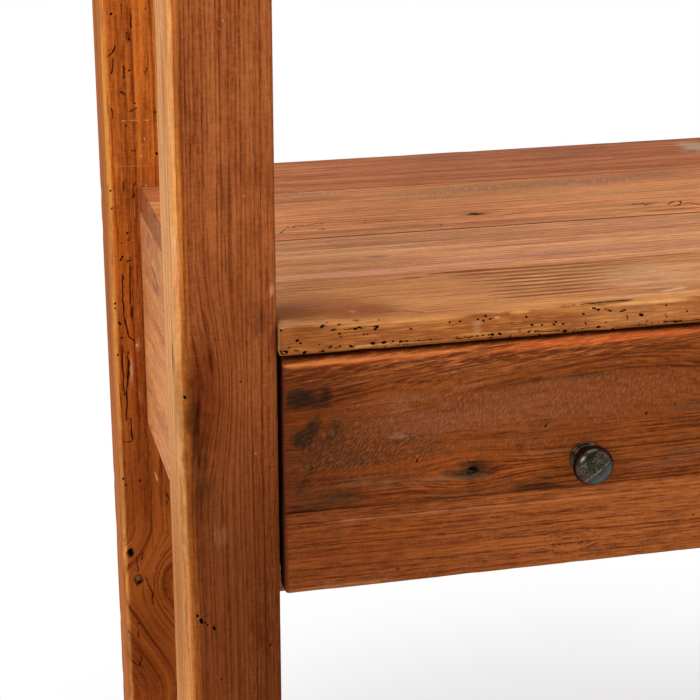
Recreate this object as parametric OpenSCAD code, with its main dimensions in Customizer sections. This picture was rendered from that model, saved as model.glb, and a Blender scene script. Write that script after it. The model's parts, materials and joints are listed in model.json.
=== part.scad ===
// Open shelving unit in reclaimed pine: four posts, four plank shelves notched round them
// and two dovetailed drawers under the second shelf. Millimetres, Z up, front towards -Y.
// The origin is on the floor, in the middle of the box that holds the whole unit.

/* [Overall] */
// Width over the outer faces of the posts
unit_w = 1060; // [900:1:1400]
// Depth over the front and back faces of the posts
unit_d = 440; // [425:1:520]
// Height of the top shelf, where the posts end
unit_h = 1850; // [1700:1:2200]

/* [Posts] */
// Width of a post, seen from the front
post_w = 70; // [62:1:90]
// Depth of a post, seen from the side
post_d = 58; // [52:1:75]
// Radius of the eased long edges of a post
post_r = 4.5; // [1:0.5:8]
// Diameter of the glide under each post
glide_dia = 30; // [20:1:45]
// Height of the glide under each post
glide_h = 5; // [3:0.5:10]
// Diameter of the glide's pin
glide_pin_dia = 6; // [4:0.5:10]
// Length of the glide's pin
glide_pin_len = 14; // [8:1:25]

/* [Levels] */
// Top of the bottom shelf above the floor
bottom_top = 140; // [110:1:220]
// Top of the shelf over the drawers
drawer_top = 785; // [650:1:950]
// Top of the shelf above that one
upper_top = 1317; // [1150:1:1500]

/* [Shelves] */
// Thickness of the planks
shelf_t = 21; // [18:0.5:30]
// How far the front plank stands proud of the posts
shelf_nose = 6; // [0:0.5:12]
// Width of the front plank of the shelf over the drawers
plank_edge = 98; // [92:1:110]
// Width of the plank behind it
plank_mid = 105; // [95:1:120]
// Width of the back plank; the third plank takes what is left of the depth
plank_back = 106; // [88:1:110]
// Gap at each seam between two planks
seam_gap = 0.4; // [0:0.1:1]
// Gap between a plank and the post that it is notched round
notch_gap = 0.6; // [0.2:0.1:1.5]
// Radius of the eased edges of a plank
plank_r = 0.75; // [0.5:0.25:3]

/* [Rails] */
// Distance from the outer face of a post to the outer face of the end rails and panels
side_inset = 27; // [20:0.5:30]
// Thickness of the end rails and panels
side_t = 20; // [16:0.5:24]
// Thickness of the long rails and the back apron
long_t = 20; // [16:0.5:24]
// Height of the rails under the plain shelves
rail_h = 60; // [45:1:80]
// Height of the panels and the apron round the drawers
panel_h = 198; // [190:1:230]
// Thickness of the tenons
tenon_t = 10; // [6:0.5:12]
// Length of the tenons on the end rails and panels
tenon_len = 25; // [15:1:32]
// Wood left between the two mortises in a post
mortise_wall = 3; // [2:0.5:6]
// Height of the shoulder above and below a tenon
shoulder = 12; // [6:1:18]
// Gap left for glue in every joint
glue_gap = 0.1; // [0.05:0.05:0.2]
// Radius of the eased edges of rails and panels
rail_r = 1.5; // [0.5:0.25:3]

/* [Drawer bearers] */
// Thickness of the partition between the drawers
partition_t = 22; // [18:0.5:30]
// Distance of the front bearer behind the front of the posts
bearer_set = 36; // [30:1:38]
// Depth of the front bearer
bearer_d = 44; // [40:1:60]
// Thickness of the front bearer
bearer_t = 18; // [14:1:24]
// Shoulder beside the bearer's tenons
bearer_shoulder = 3; // [2:0.5:4]
// Thickness of the ledge that a drawer slides on
ledge_t = 12; // [9:0.5:16]
// Height of the packer that brings a side ledge level with the post
packer_h = 150; // [110:1:160]
// Depth of the housing in the apron for the ends of the runners
housing = 8; // [5:0.5:12]

/* [Drawers] */
// Height of a drawer front's lower edge above that of the panels beside it
front_lift = 16; // [4:1:20]
// Thickness of a drawer front
front_t = 20; // [18:0.5:24]
// Height of the lower of the two boards in a drawer front
front_low_h = 62; // [45:1:80]
// Radius of the eased edges round a drawer front
front_r = 2; // [0.5:0.25:3]
// Width of the tongue that joins the two boards
tongue_t = 6; // [4:0.5:8]
// Height of the tongue that joins the two boards
tongue_h = 6; // [4:0.5:9]
// Gap between a drawer front and the shelf above it
front_top_gap = 4; // [2:0.5:8]
// Gap between a drawer front and what stands beside it
front_side_gap = 3; // [1.5:0.5:5]
// Thickness of the drawer sides and back
box_t = 13; // [10:0.5:16]
// Distance of the top of the drawer sides below the top of the front
box_drop = 14; // [6:1:40]
// Gap between a closed drawer and the apron that stops it
stop_gap = 0.8; // [0.3:0.1:3]
// Gap under the sides, over the ledges that they slide on
slide_gap = 0.3; // [0.1:0.1:1]
// Thickness of the drawer bottom
base_t = 6; // [4:0.5:9]
// Depth of the grooves that hold the drawer bottom
groove_d = 6; // [4:0.5:8]
// Wood left under the grooves
groove_lip = 10; // [7:0.5:14]
// Room for the bottom in its grooves
groove_gap = 0.2; // [0.1:0.1:0.5]

/* [Dovetails] */
// Number of tails at each corner of a drawer
tail_count = 4; // [3:1:5]
// Width of a tail where it leaves the board
tail_root = 18; // [12:0.5:20]
// How much a tail widens on each side, per unit of its length
tail_slope = 0.16; // [0.1:0.01:0.2]
// Wood left in front of the tails in a drawer front
lap = 6; // [4:0.5:9]

/* [Knobs] */
// Distance of a knob below the middle of its drawer front
knob_low = 4; // [0:0.5:12]
// Diameter of the ring at the foot of a knob
knob_foot_dia = 24.4; // [18:0.2:27]
// Thickness of that ring
knob_foot_t = 3.4; // [2:0.2:5]
// Diameter of the neck of a knob
knob_neck_dia = 14; // [11:0.5:17]
// Diameter of the head of a knob
knob_head_dia = 30; // [24:0.5:40]
// Distance of the widest part of the head from the drawer front
knob_rim = 16.5; // [13:0.5:20]
// How far a knob reaches out of its drawer front
knob_reach = 25; // [22.5:0.5:32]
// Diameter of the screw that holds a knob
knob_screw_dia = 4; // [3:0.5:5]
// Depth of the screw in a knob
knob_screw_in = 11; // [7:0.5:14]
// Diameter of the screw's head
knob_screw_head = 9; // [7:0.5:12]
// Thickness of the screw's head
knob_screw_head_t = 2.6; // [1.5:0.1:4]

/* [Fasteners] */
// Diameter of the dowels under the shelves
dowel_dia = 8; // [6:0.5:10]
// Length of a dowel in its shelf
dowel_up = 12; // [8:0.5:14]
// Length of a dowel in the rail under the shelf
dowel_down = 16; // [12:0.5:22]
// Length of the bevel at a dowel's ends
dowel_bevel = 1; // [0.5:0.25:2]
// Diameter of the screws in the side runners
screw_dia = 4; // [3:0.5:5]
// Diameter of their heads
screw_head_dia = 8; // [7:0.5:10]
// Length of these screws in the side panel
screw_bite = 12; // [8:1:15]
// Number of screws along each side runner
screw_count = 3; // [2:1:5]
// Distance of the end screws from the posts
screw_end = 40; // [20:1:80]
// Gap between a fastener and its hole
hole_gap = 0.05; // [0.02:0.01:0.1]

/* [Hidden] */
$fn = 48;
LEVELS = ["bottom", "drawer", "upper", "top"];
PLAIN = [0, 2, 3];
DRAWER_LEVEL = 1;
ROWS = ["front", "mid_front", "mid_back", "back"];
SIDES = ["left", "right"];
ENDS = ["front", "back"];
PINE = [0.66, 0.36, 0.20];
PALE_PINE = [0.80, 0.55, 0.34];
DARK_PINE = [0.50, 0.22, 0.11];
DRAWER_PINE = [0.76, 0.58, 0.38];
IRON = [0.16, 0.15, 0.14];
STEEL = [0.62, 0.62, 0.60];
NYLON = [0.20, 0.17, 0.14];
cut = 1; // how far a cutting shape runs past the face that it cuts
dowel_shares = [0.3, 0.7]; // places of the dowels in a long rail, as shares of its length
head_taper = 0.7; // width of a knob screw's head at its narrow end, as a share of the wide one

// Heights
tops = [bottom_top, drawer_top, upper_top, unit_h];
under_drawer_shelf = drawer_top - shelf_t;
panel_foot = under_drawer_shelf - panel_h;
ledge_foot = panel_foot + bearer_t;
bearer_tenon_t = bearer_t / 2;
box_foot = ledge_foot + ledge_t + slide_gap;
front_head = under_drawer_shelf - front_top_gap;
front_foot = panel_foot + front_lift;
front_h = front_head - front_foot;
front_seam = front_foot + front_low_h;
box_h = front_head - box_drop - box_foot;
groove_z = box_foot + groove_lip;
base_top = groove_z + groove_gap / 2 + base_t;

// Places across the unit, from the outer face of the left posts
side_far = side_inset + side_t;
side_mid = side_inset + side_t / 2;
long_tenon = post_w - side_mid - tenon_t / 2 - mortise_wall;
span_w = unit_w - 2 * post_w;
front_w = (span_w - partition_t) / 2 - 2 * front_side_gap;
front_x = post_w + front_side_gap;
ledge_w = front_side_gap + box_t;
screw_len = post_w - side_far + screw_bite;
knob_x = front_x + front_w / 2;
knob_z = (front_head + front_foot) / 2 - knob_low;

// Places along the depth, from the front faces of the posts
long_mid = post_d / 2;
rail_span = unit_d - 2 * post_d;
apron_y = unit_d - post_d / 2 - long_t / 2;
box_len = apron_y - stop_gap;
box_back_y = box_len - box_t;

// Widths of the planks in the shelf over the drawers, front to back; the others turn the order
plank_wide = unit_d + shelf_nose - plank_edge - plank_mid - plank_back;
plank_sizes = [plank_edge, plank_mid, plank_wide, plank_back];
plank_turn = [2, 0, 1, 3];
function plank_size(level, row) = plank_sizes[(row + plank_turn[level]) % 4];
function plank_from(level, row) =
    row == 0 ? -shelf_nose : plank_from(level, row - 1) + plank_size(level, row - 1);
function plank_to(level, row) = plank_from(level, row) + plank_size(level, row);

// Middle of the stretch of a plank that lies on the end rails, between the posts
function seat_mid(level, row) =
    (max(plank_from(level, row), post_d) + min(plank_to(level, row), unit_d - post_d)) / 2;

// Dowel places of a level: one at each end of every plank, and the long rails or partition
function end_dowels(level) =
    [for (row = [0:3], x = [side_mid, unit_w - side_mid]) [x, seat_mid(level, row)]];
function long_dowels(level) =
    [for (x = dowel_shares, y = [long_mid, unit_d - long_mid]) [post_w + x * span_w, y]];
function drawer_dowels() = concat(
    [for (x = dowel_shares) [post_w + x * span_w, unit_d - long_mid]],
    [for (row = [1, 2]) [unit_w / 2, seat_mid(DRAWER_LEVEL, row)]]);
function dowels(level) =
    concat(end_dowels(level), level == DRAWER_LEVEL ? drawer_dowels() : long_dowels(level));

DRAWER_PARTS = ["front_upper", "front_lower", "side_outer", "side_inner", "back", "base",
                "knob", "knob_screw"];

// Moves everything from the corner of the left front post to the part's origin
module placed() {
    translate([-unit_w / 2, -(unit_d - knob_reach) / 2, 0]) children();
}

// Places a piece of the left half, or its mirror image in the right half
module half(side) {
    if (side == "left") children();
    else translate([unit_w, 0, 0]) mirror([1, 0, 0]) children();
}

// Places a piece of the front, or its mirror image at the back
module end(which) {
    if (which == "front") children();
    else translate([0, unit_d, 0]) mirror([0, 1, 0]) children();
}

// Rectangle with eased corners, lower corner at the origin
module eased(w, h, r) {
    translate([r, 0]) square([w - 2 * r, h]);
    translate([0, r]) square([w, h - 2 * r]);
    for (x = [r, w - r], y = [r, h - r]) translate([x, y]) circle(r);
}

// Board that runs along X, eased on its four long edges
module board_x(len, w, h, r) {
    rotate([90, 0, 90]) linear_extrude(len) eased(w, h, r);
}

// Board that runs along Y, eased on its four long edges
module board_y(len, w, h, r) {
    translate([0, len, 0]) rotate([90, 0, 0]) linear_extrude(len) eased(w, h, r);
}

// Holes for the dowels of one level, through the joint between shelf and rails
module dowel_holes(level) {
    for (p = dowels(level))
        translate([p[0], p[1], tops[level] - shelf_t - dowel_down])
            cylinder(h = dowel_down + dowel_up, d = dowel_dia + 2 * hole_gap);
}

// End rail or panel under a shelf, with a tenon on each end
module end_rail(level, h) {
    z = tops[level] - shelf_t - h;
    color(PINE) difference() {
        union() {
            translate([side_inset, post_d, z]) board_y(rail_span, side_t, h, rail_r);
            end_tenons(z, h, 0);
        }
        dowel_holes(level);
    }
}

// Tenons of an end rail, or with a gap the mortises for them
module end_tenons(z, h, gap) {
    translate([side_mid - tenon_t / 2 - gap, post_d - tenon_len - gap, z + shoulder - gap])
        cube([tenon_t + 2 * gap, rail_span + 2 * (tenon_len + gap), h - 2 * (shoulder - gap)]);
}

// Long rail or apron under the front or the back of a shelf, with a tenon on each end
module long_rail(level, h, which) {
    z = tops[level] - shelf_t - h;
    color(PINE) difference() {
        end(which) {
            translate([post_w, long_mid - long_t / 2, z]) board_x(span_w, long_t, h, rail_r);
            long_tenons(z, h, 0);
        }
        dowel_holes(level);
    }
}

// Tenons of a long rail, or with a gap the mortises for them
module long_tenons(z, h, gap) {
    translate([post_w - long_tenon - gap, long_mid - tenon_t / 2 - gap, z + shoulder - gap])
        cube([span_w + 2 * (long_tenon + gap), tenon_t + 2 * gap, h - 2 * (shoulder - gap)]);
}

// Tenons of the front bearer, or with a gap the mortises for them
module bearer_tenons(gap) {
    y = bearer_set + bearer_shoulder;
    z = panel_foot + (bearer_t - bearer_tenon_t) / 2;
    translate([post_w - long_tenon - gap, y - gap, z - gap])
        cube([span_w + 2 * (long_tenon + gap), post_d - bearer_shoulder - y + 2 * gap,
              bearer_tenon_t + 2 * gap]);
}

// Post at the left, front or back, with its mortises and the hole for its glide
module post(which) {
    color(which == "front" ? PINE : DARK_PINE) end(which) difference() {
        translate([0, 0, glide_h]) linear_extrude(unit_h - glide_h) eased(post_w, post_d, post_r);
        for (i = PLAIN) {
            end_tenons(tops[i] - shelf_t - rail_h, rail_h, glue_gap);
            long_tenons(tops[i] - shelf_t - rail_h, rail_h, glue_gap);
        }
        end_tenons(panel_foot, panel_h, glue_gap);
        if (which == "front") bearer_tenons(glue_gap);
        else long_tenons(panel_foot, panel_h, glue_gap);
        translate([post_w / 2, post_d / 2, glide_h - cut])
            cylinder(h = glide_pin_len + 2 * cut, d = glide_pin_dia + 2 * hole_gap);
    }
}

// Plank of a shelf, notched where it meets the posts
module plank(level, row) {
    y = plank_from(level, row) + (row == 0 ? 0 : seam_gap / 2);
    w = plank_to(level, row) - (row == 3 ? 0 : seam_gap / 2) - y;
    color(row % 2 == 0 ? PALE_PINE : PINE) difference() {
        translate([side_inset, y, tops[level] - shelf_t])
            board_x(unit_w - 2 * side_inset, w, shelf_t, plank_r);
        for (s = SIDES, e = ENDS) half(s) end(e)
            translate([-cut, -shelf_nose - cut, tops[level] - shelf_t - cut])
                cube([post_w + notch_gap + cut, post_d + notch_gap + shelf_nose + cut,
                      shelf_t + 2 * cut]);
        dowel_holes(level);
    }
}

// Back apron, housed for the ends of the runners
module back_apron() {
    color(PINE) difference() {
        long_rail(DRAWER_LEVEL, panel_h, "back");
        runner_housings();
    }
}

module runner_housings() {
    for (s = SIDES) half(s)
        translate([post_w - cut, apron_y - cut, ledge_foot - glue_gap])
            cube([ledge_w + cut + glue_gap, housing + glue_gap + cut, ledge_t + 2 * glue_gap]);
    translate([unit_w / 2 - partition_t / 2 - ledge_w - glue_gap, apron_y - cut,
               ledge_foot - glue_gap])
        cube([partition_t + 2 * (ledge_w + glue_gap), housing + glue_gap + cut,
              ledge_t + 2 * glue_gap]);
}

// Partition between the drawers, stepped over the front bearer and the centre runner
module partition() {
    nose = bearer_set - glue_gap;
    color(PINE) difference() {
        translate([(unit_w - partition_t) / 2, 0, 0]) rotate([90, 0, 90])
            linear_extrude(partition_t) polygon([
                [0, panel_foot],
                [nose, panel_foot],
                [nose, ledge_foot + ledge_t],
                [apron_y, ledge_foot + ledge_t],
                [apron_y, under_drawer_shelf],
                [0, under_drawer_shelf]]);
        dowel_holes(DRAWER_LEVEL);
    }
}

// Rail that lies flat under the drawers, behind their fronts
module front_bearer() {
    color(PINE) {
        translate([post_w, bearer_set, panel_foot]) board_x(span_w, bearer_d, bearer_t, rail_r);
        bearer_tenons(0);
    }
}

// Ledge that both drawers share, under the partition
module runner_centre() {
    color(DRAWER_PINE)
        translate([unit_w / 2 - partition_t / 2 - ledge_w, bearer_set, ledge_foot])
            cube([partition_t + 2 * ledge_w, apron_y + housing - bearer_set, ledge_t]);
}

// Ledge at the side of a drawer, in one piece with its packer
module runner_side() {
    color(DRAWER_PINE) difference() {
        union() {
            translate([post_w, bearer_set, ledge_foot])
                cube([ledge_w, apron_y + housing - bearer_set, ledge_t]);
            translate([side_far, post_d, ledge_foot])
                cube([post_w - side_far, rail_span, packer_h]);
        }
        runner_screw_shapes(hole_gap);
    }
}

// Screws through the left packer into the side panel, or with a gap their holes
module runner_screw_shapes(gap) {
    pitch = (rail_span - 2 * screw_end) / (screw_count - 1);
    head_t = (screw_head_dia - screw_dia) / 2;
    for (i = [0 : screw_count - 1])
        translate([post_w, post_d + screw_end + i * pitch, ledge_foot + packer_h / 2])
            rotate([0, -90, 0]) {
                cylinder(h = screw_len, d = screw_dia + 2 * gap);
                cylinder(h = head_t, d1 = screw_head_dia + 2 * gap, d2 = screw_dia + 2 * gap);
            }
}

module runner_screws() {
    color(STEEL) for (s = SIDES) half(s) runner_screw_shapes(0);
}

module side_panel() {
    color(PINE) difference() {
        end_rail(DRAWER_LEVEL, panel_h);
        runner_screw_shapes(hole_gap);
    }
}

module shelf_dowels() {
    h = dowel_up + dowel_down - 2 * hole_gap;
    color(PALE_PINE) for (level = [0:3], p = dowels(level))
        translate([p[0], p[1], tops[level] - shelf_t - dowel_down + hole_gap])
            rotate_extrude() polygon([
                [0, 0],
                [dowel_dia / 2 - dowel_bevel / 2, 0],
                [dowel_dia / 2, dowel_bevel],
                [dowel_dia / 2, h - dowel_bevel],
                [dowel_dia / 2 - dowel_bevel / 2, h],
                [0, h]]);
}

// Nylon glide with its pin, under every post
module glides() {
    color(NYLON) for (s = SIDES, e = ENDS) half(s) end(e) translate([post_w / 2, post_d / 2, 0]) {
        cylinder(h = glide_h / 2, d1 = glide_dia - glide_h / 2, d2 = glide_dia);
        translate([0, 0, glide_h / 2]) cylinder(h = glide_h / 2, d = glide_dia);
        cylinder(h = glide_h + glide_pin_len, d = glide_pin_dia);
    }
}

// Row of dovetails in the YZ plane over a height h, growing from y = 0 towards +Y
module tails(len, h, gap) {
    root = tail_root / 2 + gap;
    tip = root + len * tail_slope;
    for (i = [0 : tail_count - 1])
        translate([0, (i + 0.5) * h / tail_count])
            polygon([[-gap, -root], [len + gap, -tip], [len + gap, tip], [-gap, root]]);
}

// Tails at the front of a drawer side, or with a gap their sockets in the front
module front_tails(gap) {
    translate([front_t, box_foot]) mirror([1, 0]) tails(front_t - lap, box_h, gap);
}

// Tails at the back of a drawer side, or with a gap the spaces for them in the back
module back_tails(gap) {
    translate([box_back_y, base_top]) tails(box_t, box_foot + box_h - base_top, gap);
}

// Extrudes an outline in the YZ plane to the right, from a distance x
module across(x, t) {
    translate([x, 0, 0]) rotate([90, 0, 90]) linear_extrude(t) children();
}

// Space for the drawer bottom in the front, the sides and under the back
module base_groove() {
    translate([front_x + box_t - groove_d, front_t - groove_d, groove_z])
        cube([front_w - 2 * (box_t - groove_d), box_len, base_t + groove_gap]);
}

// Side of a drawer: "outer" stands by the post and "inner" by the partition
module box_side(which) {
    color(DRAWER_PINE) difference() {
        across(which == "outer" ? front_x : front_x + front_w - box_t, box_t) {
            translate([front_t, box_foot]) square([box_back_y - front_t, box_h]);
            front_tails(0);
            back_tails(0);
            translate([box_back_y - cut, box_foot])
                square([box_t + cut, groove_z - box_foot]);
        }
        base_groove();
    }
}

module box_back() {
    color(DRAWER_PINE) difference() {
        translate([front_x, box_back_y, base_top])
            cube([front_w, box_t, box_foot + box_h - base_top]);
        for (x = [front_x - cut, front_x + front_w - box_t - glue_gap])
            across(x, box_t + cut + glue_gap) back_tails(glue_gap);
    }
}

module box_base() {
    x = front_x + box_t - groove_d + groove_gap / 2;
    y = front_t - groove_d + groove_gap / 2;
    color(DRAWER_PINE) translate([x, y, groove_z + groove_gap / 2])
        cube([front_w - 2 * (x - front_x), box_len - y, base_t]);
}

// Whole drawer front before it is parted into its two boards
module front_blank() {
    difference() {
        intersection() {
            translate([front_x, 0, front_foot]) linear_extrude(front_h)
                eased(front_w, front_t + front_r, front_r);
            across(front_x, front_w)
                translate([0, front_foot]) eased(front_t + front_r, front_h, front_r);
            translate([front_x, 0, front_foot]) cube([front_w, front_t, front_h]);
        }
        for (x = [front_x - cut, front_x + front_w - box_t - glue_gap])
            across(x, box_t + cut + glue_gap) front_tails(glue_gap);
        base_groove();
        translate([knob_x, 0, knob_z]) rotate([-90, 0, 0])
            translate([0, 0, -cut]) cylinder(h = front_t + 2 * cut, d = knob_screw_dia + 2 * hole_gap);
    }
}

// Lower board's share of the drawer front, with its tongue
module front_lower_space(gap) {
    translate([front_x - cut, -cut, front_foot - cut])
        cube([front_w + 2 * cut, front_t + 2 * cut, front_low_h + cut]);
    translate([front_x - cut, front_t / 2 - tongue_t / 2 - gap, front_seam - cut])
        cube([front_w + 2 * cut, tongue_t + 2 * gap, tongue_h + gap + cut]);
}

module front_lower() {
    color(PINE) intersection() {
        front_blank();
        front_lower_space(0);
    }
}

module front_upper() {
    color(DARK_PINE) difference() {
        front_blank();
        front_lower_space(glue_gap);
    }
}

// Outline of a knob: radius against distance from the drawer front
module knob_outline() {
    foot = knob_foot_dia / 2;
    neck = knob_neck_dia / 2;
    head = knob_head_dia / 2;
    ring = knob_foot_t / 2;
    throat = (knob_foot_t + knob_rim) / 2;
    polygon(concat(
        [[0, 0]],
        [for (a = [-90:30:90]) [foot - ring + ring * cos(a), ring + ring * sin(a)]],
        [for (a = [15:15:90]) [neck + (foot - ring - neck) * (1 - sin(a)),
                               throat - (throat - knob_foot_t) * cos(a)]],
        [for (a = [75:-15:0]) [head - (head - neck) * sin(a),
                               throat + (knob_rim - throat) * cos(a)]],
        [for (a = [15:15:75]) [head * cos(a), knob_rim + (knob_reach - knob_rim) * sin(a)]],
        [[0, knob_reach]]));
}

module knob() {
    color(IRON) translate([knob_x, 0, knob_z]) rotate([90, 0, 0]) difference() {
        rotate_extrude() knob_outline();
        translate([0, 0, -cut])
            cylinder(h = knob_screw_in + 2 * cut, d = knob_screw_dia + 2 * hole_gap);
    }
}

module knob_screw() {
    color(STEEL) translate([knob_x, front_t, knob_z]) rotate([90, 0, 0]) {
        cylinder(h = front_t + knob_screw_in, d = knob_screw_dia);
        translate([0, 0, -knob_screw_head_t])
            cylinder(h = knob_screw_head_t, d1 = knob_screw_head * head_taper, d2 = knob_screw_head);
    }
}

module drawer_part(part) {
    if (part == "front_upper") front_upper();
    if (part == "front_lower") front_lower();
    if (part == "side_outer") box_side("outer");
    if (part == "side_inner") box_side("inner");
    if (part == "back") box_back();
    if (part == "base") box_base();
    if (part == "knob") knob();
    if (part == "knob_screw") knob_screw();
}

for (e = ENDS, s = SIDES)
    placed() half(s) post(e);
for (i = [0:3], row = [0:3])
    placed() plank(i, row);
for (i = PLAIN, s = SIDES)
    placed() half(s) end_rail(i, rail_h);
for (i = PLAIN, e = ENDS)
    placed() long_rail(i, rail_h, e);
for (s = SIDES)
    placed() half(s) side_panel();
placed() back_apron();
placed() partition();
placed() front_bearer();
placed() runner_centre();
for (s = SIDES)
    placed() half(s) runner_side();
placed() shelf_dowels();
placed() runner_screws();
placed() glides();
for (s = SIDES, part = DRAWER_PARTS)
    placed() half(s) drawer_part(part);
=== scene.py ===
"""The looks of a shelving unit in reclaimed pine.

Every board is a dense mesh, worn along its edges and cut to the joints of its CAD node.
Lengths are millimetres in the tables and in the shaders, and metres in Blender.
"""

import json
import math

import bmesh
import bpy
import mathutils
import numpy as np
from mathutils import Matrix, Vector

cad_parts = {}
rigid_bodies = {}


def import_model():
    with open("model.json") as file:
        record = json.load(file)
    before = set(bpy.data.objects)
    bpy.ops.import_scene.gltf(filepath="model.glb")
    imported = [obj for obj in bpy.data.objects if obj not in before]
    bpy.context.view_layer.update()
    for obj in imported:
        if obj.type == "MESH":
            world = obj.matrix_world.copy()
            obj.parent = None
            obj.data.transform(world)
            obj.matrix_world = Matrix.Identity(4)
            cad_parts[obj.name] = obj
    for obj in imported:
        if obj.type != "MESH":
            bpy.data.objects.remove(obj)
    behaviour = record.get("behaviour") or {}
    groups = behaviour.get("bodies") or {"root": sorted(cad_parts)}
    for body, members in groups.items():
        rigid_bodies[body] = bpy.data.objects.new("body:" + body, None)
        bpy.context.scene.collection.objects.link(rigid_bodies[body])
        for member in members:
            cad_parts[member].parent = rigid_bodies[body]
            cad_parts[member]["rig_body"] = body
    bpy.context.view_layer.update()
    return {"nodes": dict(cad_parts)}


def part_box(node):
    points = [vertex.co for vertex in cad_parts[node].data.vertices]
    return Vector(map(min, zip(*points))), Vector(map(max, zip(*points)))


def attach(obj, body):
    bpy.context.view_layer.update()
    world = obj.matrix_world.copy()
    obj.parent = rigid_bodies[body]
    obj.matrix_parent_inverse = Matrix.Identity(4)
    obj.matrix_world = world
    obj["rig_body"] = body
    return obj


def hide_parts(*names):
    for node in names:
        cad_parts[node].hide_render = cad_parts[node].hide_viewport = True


MM = 0.001
# A length that counts as nought
TINY = 1e-9
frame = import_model()
scene = bpy.context.scene
scene.view_settings.view_transform = "Standard"


# Camera and lamps

CAMERA_PLACE = (-0.6995, -1.4005, 1.2077)
CAMERA_TURN = (math.radians(90 - 19.89), 0, math.radians(-13.64))
LENS = 98.06
SENSOR = 36
PHOTO = 700
VIEW_END = 60
# Each lamp's name, place, target, two sides and power
LAMPS = (
    ("key", (-3.0, -2.9, 2.5), (0, 0, 0.9), (1.6, 1.6), 66),
    ("fill", (3.0, -2.5, 2.9), (0, 0, 0.8), (1.6, 1.6), 56),
    ("top", (0.0, -0.6, 4.2), (0, 0, 0.8), (3.0, 2.6), 50),
)


def add_object(name, data):
    """A new object in the scene that holds this data."""
    made = bpy.data.objects.new(name, data)
    scene.collection.objects.link(made)
    return made


def add_camera():
    """The photograph's view: place, turn and lens fitted to the lines of the object."""
    data = bpy.data.cameras.new("camera")
    data.lens = LENS
    data.sensor_width = SENSOR
    data.clip_end = VIEW_END
    camera = add_object("camera", data)
    camera.location = CAMERA_PLACE
    camera.rotation_euler = CAMERA_TURN
    scene.camera = camera


def add_lamp(name, place, target, sides, power):
    """A rectangular lamp that shines from its place towards the target."""
    data = bpy.data.lights.new(name, "AREA")
    data.shape = "RECTANGLE"
    data.size, data.size_y = sides
    data.energy = power
    lamp = add_object(name, data)
    lamp.location = place
    aim = Vector(target) - Vector(place)
    lamp.rotation_euler = aim.to_track_quat("-Z", "Y").to_euler()


# Node trees

def rgb(code):
    """A colour written as six hex digits, in the linear light that shaders take."""
    parts = [int(code[i:i + 2], 16) / 255 for i in (0, 2, 4)]
    return tuple(c / 12.92 if c <= 0.04045 else ((c + 0.055) / 1.055) ** 2.4 for c in parts) + (1,)


class Tree:
    """Short names for adding nodes to one node tree."""

    def __init__(self, tree):
        self.tree = tree

    def feed(self, socket, value):
        """Link a socket to another one, or set it to a plain value."""
        if isinstance(value, bpy.types.NodeSocket):
            self.tree.links.new(value, socket)
        elif value is not None:
            socket.default_value = value

    def feed_all(self, sockets, values):
        for key, value in values.items():
            self.feed(sockets[key], value)

    def add(self, kind, feeds=(), **settings):
        node = self.tree.nodes.new(kind)
        for key, value in settings.items():
            setattr(node, key, value)
        self.feed_all(node.inputs, dict(feeds))
        return node

    def math(self, operation, *values, clamp=False):
        feeds = enumerate(values)
        return self.add("ShaderNodeMath", feeds, operation=operation, use_clamp=clamp).outputs[0]

    def vec(self, operation, *values, scale=None):
        node = self.add("ShaderNodeVectorMath", enumerate(values), operation=operation)
        if scale is not None:
            self.feed(node.inputs["Scale"], scale)
        return node.outputs["Value" if operation in ("LENGTH", "DOT_PRODUCT") else "Vector"]

    def place(self):
        """The shaded point of the object, in millimetres."""
        return self.vec("SCALE", self.add("ShaderNodeTexCoord").outputs["Object"], scale=1 / MM)

    def parts(self, vector):
        """A vector's X, Y and Z."""
        return self.add("ShaderNodeSeparateXYZ", {0: vector}).outputs

    def joined(self, *values):
        """A vector with these X, Y and Z."""
        return self.add("ShaderNodeCombineXYZ", enumerate(values)).outputs[0]

    def ease(self, value, start, end, low=0.0, high=1.0):
        """Smooth step from low at start to high at end."""
        feeds = {"Value": value, "From Min": start, "From Max": end, "To Min": low, "To Max": high}
        return self.add("ShaderNodeMapRange", feeds, interpolation_type="SMOOTHSTEP").outputs["Result"]

    def noise(self, point, detail=2.0, rough=0.5, output="Fac", scale=1.0):
        feeds = {"Vector": point, "Scale": scale, "Detail": detail, "Roughness": rough}
        return self.add("ShaderNodeTexNoise", feeds).outputs[output]

    def mix(self, share, a, b):
        """A colour between two colours."""
        return self.add("ShaderNodeMix", {0: share, 6: a, 7: b}, data_type="RGBA").outputs[2]

    def bump(self, height, distance, strength):
        feeds = {"Height": height, "Distance": distance, "Strength": strength}
        return self.add("ShaderNodeBump", feeds).outputs["Normal"]

    def group(self, group, **feeds):
        return self.add("ShaderNodeGroup", node_tree=group, feeds=feeds).outputs


def new_material(name):
    """A material, the Tree to fill it and its shader's sockets."""
    material = bpy.data.materials.new(name)
    material.use_nodes = True
    return material, Tree(material.node_tree), material.node_tree.nodes["Principled BSDF"].inputs


def new_group(name, feeds, results):
    """A node group with these sockets, the Tree to fill it, its inputs and its results."""
    group = bpy.data.node_groups.new(name, "ShaderNodeTree")
    kinds = {"f": "NodeSocketFloat", "v": "NodeSocketVector"}
    for way, sockets in (("INPUT", feeds), ("OUTPUT", results)):
        for socket, kind in sockets:
            group.interface.new_socket(socket, in_out=way, socket_type=kinds[kind])
    source = group.nodes.new("NodeGroupInput").outputs
    sink = group.nodes.new("NodeGroupOutput").inputs
    return group, Tree(group), source, sink


ACROSS = (0.0, 1.0, 1.0)
# A line's mask: how far its ends narrow it, how far the grain frays it, and where it fades
LINE_TAPER = 0.35
LINE_FRAY = 0.55
LINE_FADE = (0.1, 0.62)
LINE_BLUNT = 4.0
SHEAR_FADE = (0.3, 1.0)
SAW_NOISE = (3, 0.7)
SAW_FADE = (0.46, 0.66)


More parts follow.
